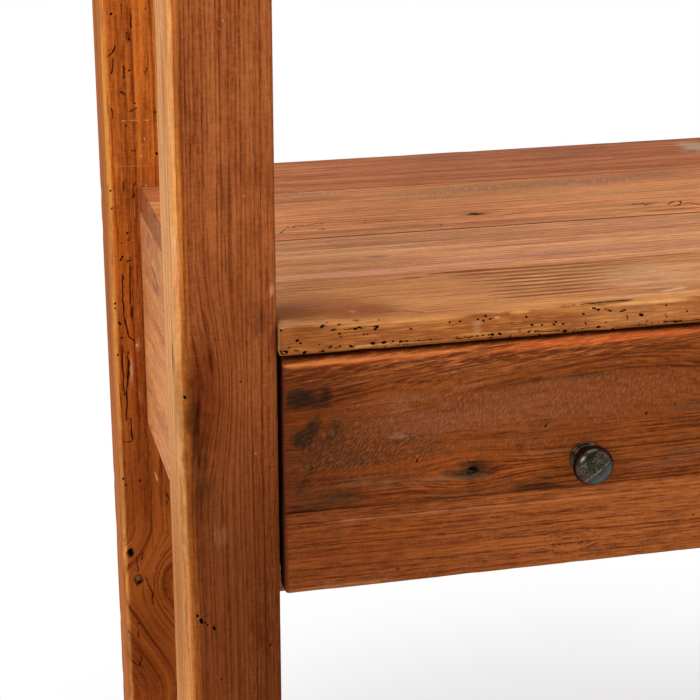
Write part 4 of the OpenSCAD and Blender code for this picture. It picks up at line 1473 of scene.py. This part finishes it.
        stain((318, 308), (66, 34), "a05c22", 0.85, 0.9, 0.7),
        stain((365, 311), (40, 20), "94501c", 0.85, 1.1, 0.7),
        stain((296, 314), (36, 24), "86490f", 0.85, 1, 0.8),
        stain((286, 324), (14, 8), "b0855e", 0.6, 2, 0.8),
        stain((306, 326), (24, 5), "6e380e", 0.7, 1.6, 0.8),
        stain((430, 312), (70, 18), "b06a30", 0.5, 1.4, 0.9),
        # Dark lines at the left
        streak((362, 314.4), (400, 310.4), 3.8, "8c4d22", 0.8),
        streak((400, 310.4), (425, 312.6), 3.4, "8c4d22", 0.7),
        streak((425, 310), (455, 307.4), 3.1, "98592c", 0.6),
        streak((278, 310.6), (325, 305), 2.9, "7c4a28", 0.6),
        streak((300, 300.4), (400, 290), 2.2, "a9744a", 0.4),
        streak((401, 278.2), (424, 276.6), 3.8, "7c3f1e", 0.85),
        streak((424, 275.4), (450, 271.4), 3.4, "8a4a22", 0.8),
        streak((440, 273), (492, 268), 3.8, "86461e", 0.8),
        streak((455, 276.2), (480, 273), 2.9, "8c5026", 0.7),
        streak((430, 297), (490, 291), 2.9, "9a6236", 0.4),
        stain((395, 320), (60, 6), "d8945a", 0.4, 1.4, 0.9),
        stain((650, 276), (80, 44), "e6b286", 0.6, 0.9, 1),
        streak((334, 301), (400, 293), 2.6, "a8561c", 0.6),
        streak((420, 306), (540, 296), 3, "d08c4a", 0.6),
        # The split along the front edge
        streak((544, 309.6), (554, 310.2), 5, "6e3410", 0.8),
        streak((560, 306), (572, 305.2), 4, "7a3c14", 0.7),
        crack(
            (572, 304.8, 0.5), (584, 303.6, 0.8), (594, 302.6, 0.5), (606, 301.6, 0.7),
            (614, 300.8, 0.4)),
        crack((580, 301.6, 0.3), (590, 302.6, 0.5), (597, 303.4, 0.6)),
        crack((615, 300.8, 0.5), (622, 300, 0.9), (631, 299.4, 0.5)),
        streak((584, 303.4), (634, 299.2), 5, "5a2208", 0.8),
        stain((589, 306), (6, 1.4), "dfb890", 0.7, 1.8, 0.7),
        stain((356.2, 320.4), (5, 4), "6a3414", 0.8, 1.4, 0.7),
        stain((353, 311.6), (4, 4), "d8a070", 0.5, 1.8, 0.8),
        *holes((322, 324.9, 1.1), (326.8, 322.2, 0.7), (339.1, 323.3, 0.7), (378.7, 319.6, 0.8)),
        streak((660, 291.4), (688, 286.8), 3.8, "eccfb4", 0.8),
        streak((600, 299), (660, 292.6), 2.4, "e0b894", 0.5),
    ],
    ("drawer_shelf_plank_front", "front"): [
        # A painted highlight along the upper edge, and paler and darker lines under it
        stain((640, 312), (70, 11), "cc8750", 0.7, 1, 0.9),
        stain((638, 308), (28, 4), "9a5a2a", 0.5, 1.2, 0.9),
        stain((300, 344), (40, 8), "94501f", 0.5, 1.2, 0.9),
        streak((345, 325.2), (384, 322.2), 3.6, "d99a5c", 0.8),
        streak((384, 321.6), (474, 315.2), 4.4, "e4a664", 0.9),
        streak((506, 313), (532, 311), 4, "e0a260", 0.8),
        streak((606, 305.2), (700, 297.4), 4.6, "e6a866", 0.9),
        sawn((400, 334), (160, 15), 0, 1.2, 20, "c8843e", 0.9),
        sawn((610, 318), (150, 15), 0, 1.2, 20, "c8843e", 0.9),
        streak((532, 312), (606, 306), 4, "c98848", 0.6),
        streak((278, 330.6), (345, 326), 3, "b06c34", 0.6),
        streak((354.6, 347.4), (374, 345.4), 2.6, "dda066", 0.8),
        streak((374, 345), (420, 341.8), 2, "cf9054", 0.7),
        streak((452, 336.4), (560, 328), 2, "cd8c50", 0.6),
        streak((278, 354.8), (700, 324.8), 1.8, "c98540", 0.5),
        stain((477, 327.5), (5, 7), "cd9a70", 0.6, 1.4, 0.8),
        stain((497, 317.4), (3, 1), "dcb48c", 0.8, 1.8, 0.7),
        stain((594, 308), (5, 1), "dfb48a", 0.8, 1.8, 0.7),
        stain((621, 313.6), (4, 1), "cc9c70", 0.7, 1.8, 0.7),
        stain((352, 331), (40, 3), "b3682c", 0.5, 1.4, 0.9),
        stain((450, 331), (60, 4), "b06830", 0.5, 1.4, 0.9),
        streak((300, 336), (420, 327), 1.4, "7e4318", 0.5),
        streak((420, 331), (560, 321), 1.4, "80451a", 0.5),
        streak((560, 318), (700, 308), 1.6, "84491c", 0.5),
        # Open cracks
        crack((279.6, 330.4, 0.3), (294, 330, 0.4), (307.5, 329.3, 0.25)),
        crack((331, 330.2, 0.6), (333.6, 329.6, 0.8), (336.4, 329.3, 0.4)),
        crack(
            (342.9, 329, 0.3), (351, 328.8, 0.5), (357.3, 328.2, 0.9), (364.3, 327.7, 0.3),
            (376, 326.6, 0.7)),
        crack((343.4, 350.7, 0.4), (348.8, 350.2, 0.5)),
        crack((354.6, 349.6, 0.3), (360, 349.6, 0.5), (366.4, 349.4, 0.3)),
        crack((368.6, 348.4, 0.3), (377, 347.6, 0.4), (386.3, 346.8, 0.5)),
        crack((401.8, 341.9, 0.5), (410, 341.4, 0.35), (442, 338.8, 0.3)),
        crack((453, 338.2, 0.35), (466, 337.4, 0.5), (478, 336.4, 0.3)),
        crack((534, 332, 0.4), (547, 331.4, 0.3), (560, 330.4, 0.4)),
        crack((549, 335.2, 0.6), (558, 334.6, 0.4)),
        crack((600, 328.4, 0.5), (622, 326.6, 0.3), (644, 324.8, 0.4)),
        crack((666, 321.6, 0.7), (675, 321.2, 0.9), (686, 320.8, 0.3), (700, 320, 0.5)),
        crack((604, 309, 0.5), (608, 310, 0.7), (612, 311.2, 0.4)),
        crack((620, 312.2, 0.8), (623.6, 311, 0.9), (626, 310, 0.4)),
        crack((627.4, 316.5, 0.4), (627.6, 321, 0.3)),
        crack((520, 328.6, 0.3), (520, 332.6, 0.4)),
        crack((592, 307.6, 0.5), (596, 309, 1), (600, 310, 0.8)),
        *holes(
            (283, 353.6, 1.2), (285.4, 352.4, 1.3), (281.6, 351.6, 0.6), (297.3, 340.7, 1),
            (300.5, 343.4, 0.6), (288.8, 347.7, 0.5), (304.8, 352.8, 1.1), (323, 351.8, 0.9),
            (319.6, 352.2, 0.5), (330.5, 347.1, 0.7), (339.6, 346.4, 0.7), (351.1, 346.4, 0.8),
            (339.6, 333.8, 0.7), (340.7, 336.8, 0.5), (363.8, 334.3, 0.6), (367.7, 334.1, 0.6),
            (372.9, 343.4, 1.1), (384.1, 342.5, 1), (376, 339.9, 0.4), (410.9, 328.9, 0.6),
            (377.1, 327, 1.2), (375.5, 329.2, 0.8), (385.5, 346.6, 0.8), (393.2, 341.5, 0.6),
            (400.4, 341.7, 0.8), (398.6, 345.6, 0.6), (404.5, 345, 0.6), (408.2, 345, 0.7),
            (319.2, 344.6, 0.4), (281, 331, 0.9), (449.6, 322.4, 0.7), (460, 321.4, 0.6),
            (478, 319.4, 0.7), (483.6, 320.6, 0.8), (485.6, 316.2, 0.7), (490.4, 319, 0.6),
            (526.4, 317, 0.8), (583.6, 314, 0.7), (641.4, 315, 1.0), (665.6, 314.4, 0.5),
            (666.6, 317, 0.5), (666.4, 305.4, 0.6), (687.2, 311.4, 0.6), (532, 325, 0.7),
            (542, 325, 0.6), (556, 322, 0.6), (554, 324.4, 0.6), (563.2, 324, 0.7), (585.8, 323.4, 0.7),
            (598.6, 327.2, 1.1), (565, 331.6, 1.4), (529, 331.8, 0.7), (500, 334, 0.8),
            (492.4, 334.6, 0.9), (489, 335, 0.6), (483, 335.4, 0.6), (477.6, 336, 0.6), (491, 338, 0.8),
            (510, 337, 0.6), (540, 335, 0.8), (573.4, 332.4, 0.7), (578, 332, 0.6), (613.4, 329.4, 0.7),
            (646, 324.6, 0.6), (647, 321.4, 0.5), (665, 321.8, 0.8), (675, 321.6, 0.9), (627, 316, 0.5),
            (512, 323, 0.4), (606, 322.6, 0.5)),
        pepper((290, 351), (480, 336), 14, 0.5),
        pepper((480, 337), (690, 321), 16, 0.5),
    ],
    ("drawer_left_front_upper", "front"): [
        # Grain that climbs, and parts round the knot
        slant((400, 378), (330, 48), 0.13),
        bend((472.6, 470.1), (58, 26), 0.75),
        stain((473, 470), (19, 10), "20130b", 0.97, 1.3, 0.8),
        stain((462, 473), (20, 7), "3e2818", 0.75, 2, 0.8),
        stain((484, 464.5), (14, 4), "3c2a1c", 0.6, 1.8, 0.8),
        streak((467.5, 456), (470, 466), 0.9, "2a1408", 0.85),
        # Nails
        slot((417, 460.8), 0.6),
        slot((545.7, 425.9), 0.65),
        slot((646.3, 413.2), 0.65),
        # Dark patches at the left
        stain((302, 399), (20, 10), "28170e", 0.92, 1.3, 0.7),
        stain((326, 396), (7, 10), "24140c", 0.85, 1.3, 0.8),
        stain((318, 407), (12, 5), "2e1a10", 0.75, 1.4, 0.8),
        stain((349, 390), (8, 3), "4c2a18", 0.6, 2, 0.8),
        stain((303, 440), (11, 9), "24140c", 0.93, 1.3, 0.7),
        stain((313, 432), (6, 14), "3e2010", 0.75, 1.4, 0.9),
        stain((336, 430), (10, 16), "42250f", 0.7, 1.6, 0.9),
        stain((318, 452), (18, 10), "45261a", 0.5, 2.2, 0.9),
        stain((352, 455), (20, 10), "4a2a1a", 0.45, 2.4, 0.9),
        stain((402, 440), (20, 10), "4c2c1a", 0.5, 2.4, 0.9),
        stain((430, 441), (14, 10), "54321c", 0.45, 2.4, 0.9),
        # Dark and grey patches near the seam with the lower board
        stain((345, 495), (24, 5), "38210f", 0.8, 1.4, 0.8),
        stain((328, 503), (40, 5), "4c301e", 0.6, 2, 0.8),
        stain((300, 513), (26, 4), "2c150a", 0.85, 1.5, 0.7),
        stain((345, 509), (30, 3.5), "38200f", 0.6, 1.6, 0.8),
        stain((380, 510), (24, 2.4), "361a0c", 0.75, 1.4, 0.7),
        stain((358, 482), (30, 8), "8c6040", 0.3, 2.2, 0.8),
        stain((388, 483), (10, 5), "9a7050", 0.3, 2.4, 0.8),
        stain((395, 478), (30, 3), "3c2414", 0.45, 2, 0.9),
        stain((440, 480), (30, 5), "8c6444", 0.28, 2, 0.8),
        stain((440, 500), (40, 9), "5c3c24", 0.5, 1.6, 0.9),
        stain((500, 490), (30, 6), "8a4a22", 0.4, 1.4, 0.9),
        stain((535, 487), (28, 6), "3c1f0d", 0.85, 1.3, 0.7),
        stain((545, 478), (12, 4), "4a2810", 0.5, 1.7, 0.8),
        stain((535, 494), (30, 4), "42220e", 0.5, 1.5, 0.8),
        streak((480, 468.6), (560, 459.4), 1.3, "3c1a0a", 0.8),
        streak((610, 455), (700, 442.4), 1.2, "532512", 0.6),
        streak((620, 462), (700, 452), 1.6, "5a3420", 0.5),
        stain((660, 465), (50, 5), "644030", 0.5, 1.6, 0.9),
        stain((690, 452), (30, 6), "5c3c28", 0.5, 1.6, 0.9),
        stain((692, 405), (22, 6), "5a3a24", 0.6, 1.8, 0.8),
        # The upper edge with dark lines aslant; the orange band along it is painted light, for the light
        # on an edge that the shelf above shades
        streak((283, 367.4), (700, 331.4), 9, "d06c32", 0.8),
        sawn((500, 354), (230, 16), 6, 1.1, 16, "e28a4a", 1.1),
        streak((320, 371), (430, 352), 2.6, "7c3010", 0.8),
        streak((300, 372), (380, 359), 2.2, "7c3010", 0.7),
        streak((440, 366), (560, 342), 2.2, "742c0e", 0.7),
        streak((560, 352), (660, 336), 2.6, "6c2a0e", 0.7),
        streak((590, 356), (700, 338), 2.6, "702c10", 0.6),
        streak((400, 366), (480, 351), 2.4, "bf6a34", 0.6),
        streak((340, 378), (420, 364), 2.4, "b4642e", 0.5),
        streak((283, 366.5), (480, 349), 4, "e08444", 0.8),
        streak((480, 350), (700, 330.5), 5, "d8642c", 0.8),
        streak((350, 372), (520, 343.6), 3.4, "5c200a", 0.8),
        streak((380, 380), (560, 346), 3, "5e220a", 0.75),
        streak((390, 384.6), (520, 359.6), 1.2, "b06c40", 0.5),
        streak((330, 388), (500, 357), 1.2, "a8623a", 0.45),
        streak((500, 369.6), (600, 347), 2.4, "a85a2c", 0.5),
        streak((520, 376), (640, 352), 3, "5e260c", 0.7),
        # Brown bands and paler patches under it
        streak((290, 414), (520, 386), 3, "8a3a10", 0.5),
        streak((283, 425), (450, 395), 6, "863c12", 0.4),
        streak((400, 390), (610, 368), 5, "944a10", 0.5),
        streak((560, 378), (620, 370.4), 3, "9a5a10", 0.5),
        stain((400, 398), (34, 5), "935a36", 0.28, 2.4, 0.7),
        stain((462, 387), (24, 4), "9c663e", 0.28, 2.6, 0.7),
        stain((490, 384), (20, 4), "97603a", 0.28, 2.6, 0.7),
        stain((398, 408), (12, 7), "9c6440", 0.28, 2.4, 0.8),
        streak((516, 383.4), (610, 371), 2.4, "3c2210", 0.6),
        stain((536, 379), (10, 3), "2e180c", 0.7, 2, 0.7),
        stain((590, 374.4), (28, 4), "3e2412", 0.75, 1.4, 0.8),
        stain((619, 363), (3, 1.6), "a8704a", 0.4, 1.6, 0.7),
        stain((397, 437), (6, 3), "b9855c", 0.33, 2.4, 0.7),
        stain((415, 420), (70, 16), "94583a", 0.25, 2, 0.9),
        stain((480, 412), (80, 22), "96583a", 0.25, 1.8, 0.9),
        stain((570, 404), (80, 30), "96552f", 0.4, 1.5, 0.9),
        stain((660, 385), (60, 20), "8e4a22", 0.4, 1.5, 0.9),
        # Saw scratches
        sawn((470, 408), (90, 34), 68, 0.8, 6, "a8683c", 0.9),
        sawn((375, 445), (80, 44), 50, 0.85, 6, "a8683e", 0.9),
        sawn((590, 398), (120, 36), 78, 0.8, 6, "a4643c", 0.85),
        sawn((650, 385), (80, 24), 60, 0.9, 6, "a4663c", 0.7),
        sawn((330, 470), (60, 30), 42, 0.9, 7, "84502c", 0.7),
        sawn((530, 442), (60, 16), 58, 0.9, 7, "9c6036", 0.6),
        # Dark strokes aslant at the left, then long faint lines
        streak((297, 447), (319, 416), 9, "2c1a0a", 0.8),
        streak((303, 449), (322, 420), 5, "2c1a0a", 0.7),
        streak((296, 496), (315, 464), 7, "3a200c", 0.7),
        streak((324, 446), (338, 425), 7, "3c220e", 0.6),
        streak((300, 478), (560, 446), 6, "8c3f10", 0.45),
        streak((560, 440), (700, 424), 5, "8c4212", 0.5),
        streak((512, 455), (580, 449), 3, "8e5c3c", 0.5),
        stain((524, 428), (6, 6), "9a5214", 0.5, 1.5, 0.8),
        stain((520, 448), (4, 4), "3e2212", 0.6, 1.8, 0.8),
        *holes((472.6, 470.3, 2.6), (470.6, 472, 1.6), (675.7, 403.8, 0.5)),
    ],
    ("drawer_left_front_lower", "front"): [
        streak((316, 523.4), (500, 505), 1.6, "b8744c", 0.6),
        streak((300, 529), (360, 522.6), 1.6, "ad6c48", 0.5),
        streak((430, 513), (700, 487), 1.4, "b06a42", 0.5),
        streak((290, 560), (480, 541), 4, "7c3010", 0.35),
        stain((400, 535), (60, 14), "8a3f14", 0.45, 1, 0.9),
        stain((388, 530), (26, 3), "a5591a", 0.45, 1.4, 0.8),
        stain((322, 546), (14, 1.5), "a85a20", 0.4, 1.4, 0.8),
        stain((442, 534), (6, 1.6), "44180a", 0.6, 1.6, 0.8),
        stain((398, 569), (3, 1.6), "38200f", 0.7, 1, 0.7),
        stain((565, 533), (10, 2.4), "6a2a10", 0.6, 1.4, 0.8),
        stain((614, 545.5), (6, 1.4), "5a220c", 0.6, 1.4, 0.8),
        stain((340, 586), (60, 4), "a86e4c", 0.4, 1.5, 0.9),
        stain((600, 575), (100, 3), "a86236", 0.5, 1.3, 0.9),
        streak((283, 594), (700, 548), 2.2, "a0622e", 0.5),
        stain((636, 564), (4, 1.6), "c79068", 0.6, 1.4, 0.7),
        stain((330, 582), (8, 3), "9a5c3e", 0.5, 2, 0.8),
        *holes((693, 514.6, 0.5)),
    ],
}


# How chance cuts a board from its log: its seed, its pith's place and its lean
SEEDS = (40, 90)
FLAT_PITH_BESIDE = 140
FLAT_PITH_DEPTHS = (25, 120)
PITH_DISTANCES = (90, 260)
LEAN_MOST = 0.02
# How chance ages a face: the least width that takes knots and nails, the length for each knot, the
# chances of each kind of mark, and then their sizes, numbers and colours
BROAD = 40
KNOT_PITCH = 1100
CHANCES = {"crack": 0.5, "nail": 0.6, "worms": 0.7, "stain": 0.5, "scratch": 0.5}
KNOT_SIZES = (3, 7)
WORMS = 9
WORM_RADII = (0.5, 1)
WORM_SPREAD = 40
NAIL_RADIUS = 1.4
NAIL_STAIN = (18, 5)
STAIN_REACHES = (40, 120)
SCRATCH_LENGTHS = (30, 90)
SCRATCH_CLIMB = 12
KNOT_RING = "6a351a"
KNOT_HEART = "34180c"
NAIL_RUST = "2e1c12"
OLD_STAINS = ["4a2614", "8c5a38", "6a3c22"]
PALE_SCRATCH = "c8946a"
# Edges: a painted highlight along an edge of a post, end grain, and the seams between planks, with where
# each fades
POST_EDGE_HIGHLIGHT = "c98a58"
POST_EDGE_HIGHLIGHT_FADE = (2.5, 6)
PLANK_END = "8a4320"
OTHER_END = "5a2a14"
END_FADE = (1.2, 3)
SEAM_DARK = "3a1a0c"
SEAM_FADE = (0.4, 1.3)
OPEN_SEAM = 0.9
SHUT_SEAM = 0.35


def look_for(node, kind):
    """The kind's look with this board's own cut from the log."""
    rng = np.random.default_rng(sum(ord(c) * (i + 3) for i, c in enumerate(node)))
    look = dict(LOOKS[kind])
    look["seed"] = float(rng.uniform(*SEEDS))
    turn = rng.uniform(0, 2 * math.pi)
    if kind in ("plank", "rail"):
        beside = rng.uniform(-FLAT_PITH_BESIDE, FLAT_PITH_BESIDE)
        look["pith"] = (beside, rng.uniform(*FLAT_PITH_DEPTHS) * rng.choice((-1, 1)))
    else:
        far = rng.uniform(*PITH_DISTANCES)
        look["pith"] = (far * math.cos(turn), far * math.sin(turn))
    look["lean"] = tuple(rng.uniform(-LEAN_MOST, LEAN_MOST, 2))
    look.update(OWN.get(node, {}))
    return look


def knot(a, b, size, rng):
    """A knot: grain that parts, a ring, a dark heart and by chance a crack."""
    made = [bend((a, b), (size * 9, size * 5), 0.75),
            stain((a, b), (size * 3.2, size * 1.8), KNOT_RING, 0.6, 1.6, 0.9),
            stain((a, b), (size * 1.2, size), KNOT_HEART, 0.85, 0.8, 0.4)]
    if rng.random() < CHANCES["crack"]:
        made.append(crack((a - size * 0.7, b, 0.3), (a, b + 0.4, 0.6), (a + size * 0.6, b - 0.5, 0.3)))
    return made


def aged(board, faces, rng):
    """Knots, nail holes, worm holes, stains and scratches for faces without marks of their own."""
    marks = []
    low, high = board.box
    start = low[board.grain]
    end = high[board.grain]
    for face in faces:
        across = 3 - board.grain - FACES[face][0]
        near = low[across]
        far = high[across]
        span = far - near
        broad = span > BROAD
        made = []

        def spot_on(rim=30, share=0.2):
            """A place this far from the ends, and this share of the width from the sides."""
            return (round(rng.uniform(start + rim, end - rim)),
                    round(rng.uniform(near + share * span, far - share * span), 1))

        if broad and rng.random() < (end - start) / KNOT_PITCH:
            a, b = spot_on()
            made += knot(a, b, rng.uniform(KNOT_SIZES[0], min(KNOT_SIZES[1], span / 9)), rng)
        if broad and rng.random() < CHANCES["nail"]:
            a, b = spot_on()
            made.append(stain((a, b), NAIL_STAIN, NAIL_RUST, 0.6, 1.8, 0.9))
            made += holes((a, b, NAIL_RADIUS))
        if rng.random() < CHANCES["worms"]:
            a, b = spot_on(60, 0.3)
            aside = (rng.normal(0, WORM_SPREAD, WORMS), rng.normal(0, span / 7, WORMS))
            for x, y, radius in zip(*aside, rng.uniform(*WORM_RADII, WORMS)):
                made += holes((a + x, min(max(b + y, near + 4), far - 4), radius))
        if rng.random() < CHANCES["stain"]:
            reach = (rng.uniform(*STAIN_REACHES), span * 0.3)
            made.append(stain(spot_on(), reach, rng.choice(OLD_STAINS), 0.45, 1.6, 1.0))
        if broad and rng.random() < CHANCES["scratch"]:
            a, b = spot_on()
            length = rng.uniform(*SCRATCH_LENGTHS)
            stop = (a + length, b + rng.uniform(-SCRATCH_CLIMB, SCRATCH_CLIMB))
            made.append(streak((a, b), stop, 1.2, PALE_SCRATCH, 0.5))
        marks += [(face, mark) for mark in made]
    return marks


def strewn(places, count, size, rng):
    """The worm holes of a pepper mark."""
    low, high = np.array(places)
    spots = low + (high - low) * rng.random((count, 2))
    return holes(*((a, b, size * rng.uniform(0.4, 1.2)) for a, b in spots))


def seen_marks(board, faces, rng):
    """The board's marks from the photograph, with their places turned from pixels to millimetres."""
    marks = []
    for face in faces:
        for kind, pixels, *facts in MARKS[board.node, face]:
            places = [board.seen(face, pixel) for pixel in pixels]
            if kind == "pepper":
                marks += [(face, hole) for hole in strewn(places, *facts, rng)]
            else:
                marks.append((face, (kind, places, *facts)))
    return marks


def end_grain(board, kind):
    """Darker wood at both ends of a board."""
    code = PLANK_END if kind == "plank" else OTHER_END
    marks = []
    for way in (1, -1):
        end = board.box[0 if way > 0 else 1][board.grain] * way
        inwards = tuple(way if d == board.grain else 0 for d in range(3))
        fade = (end + depth for depth in END_FADE)
        marks.append(("front", side(inwards, *fade, code, 0.65)))
    return marks


def seams(board):
    """A darker colour along the seams of a plank: the middle seam is the open one."""
    marks = []
    for way, edge, outer, open_one in ((1, board.box[0][1], "plank_front", "mid_back"),
                                       (-1, -board.box[1][1], "plank_back", "mid_front")):
        if not board.node.endswith(outer):
            strength = OPEN_SEAM if board.node.endswith(open_one) else SHUT_SEAM
            fade = (edge + depth for depth in SEAM_FADE)
            marks.append(("top", side((0, way, 0), *fade, SEAM_DARK, strength)))
    return marks


def marks_of(board, kind, rng):
    """All marks of a board: its own from the photograph, and chance ones on its other faces."""
    own = [face for face in FACES if (board.node, face) in MARKS]
    free = [face for face in FACES if FACES[face][0] != board.grain and face not in own]
    marks = [("front", mark) for mark in OWN.get(board.node, {}).get("sides", [])]
    marks += seen_marks(board, own, rng)
    marks += aged(board, free, rng)
    # A post without marks of its own gets a painted highlight along one outer edge
    if kind == "post" and not own:
        outer = rng.choice((-1, 1))
        edge = float(np.max(board.box[:, 0] * outer))
        start, end = (depth - edge for depth in POST_EDGE_HIGHLIGHT_FADE)
        marks.append(("front", side((-outer, 0, 0), start, end, POST_EDGE_HIGHLIGHT, 0.85)))
    marks += end_grain(board, kind)
    if "seam" in LOOKS[kind]:
        marks += seams(board)
    return marks


# The scene

HOLLOW = make_hollow("hollow", "0c0503", "341a0d")
TRACK = make_hollow("track", "2a1107", "5a2a12")
# The rims of worm tracks are lined in a dark red-brown that is painted shade
TRACK_RIM_SHADE = make_hollow("rim", "43180a", "74310f")
PLAIN = {"screw_steel": make_plain("screw_steel", "b4b0a6", "7c776c", 1.0, 0.25, 0.5),
         "glide_nylon": make_plain("glide_nylon", "38322c", "221e1a", 0.0, 0.42, 0.3)}
add_camera()
for lamp in LAMPS:
    add_lamp(*lamp)
make_world()
make_floor()

for name, node in sorted(frame["nodes"].items()):
    surface = node.data.materials[0].name
    if surface in PLAIN:
        node.data.materials[0] = PLAIN[surface]
    elif surface == "knob_iron":
        make_knob(name)
    else:
        kind = SLOT_KIND[surface]
        board = Board(name)
        look = look_for(name, kind)
        if kind == "inner":
            node.data.materials[0] = wood(board, look, STAINED_AND_SHADED_ENDS)
        else:
            rng = np.random.default_rng(int(look["seed"] * 1000))
            add_board(board, look, marks_of(board, kind, rng))
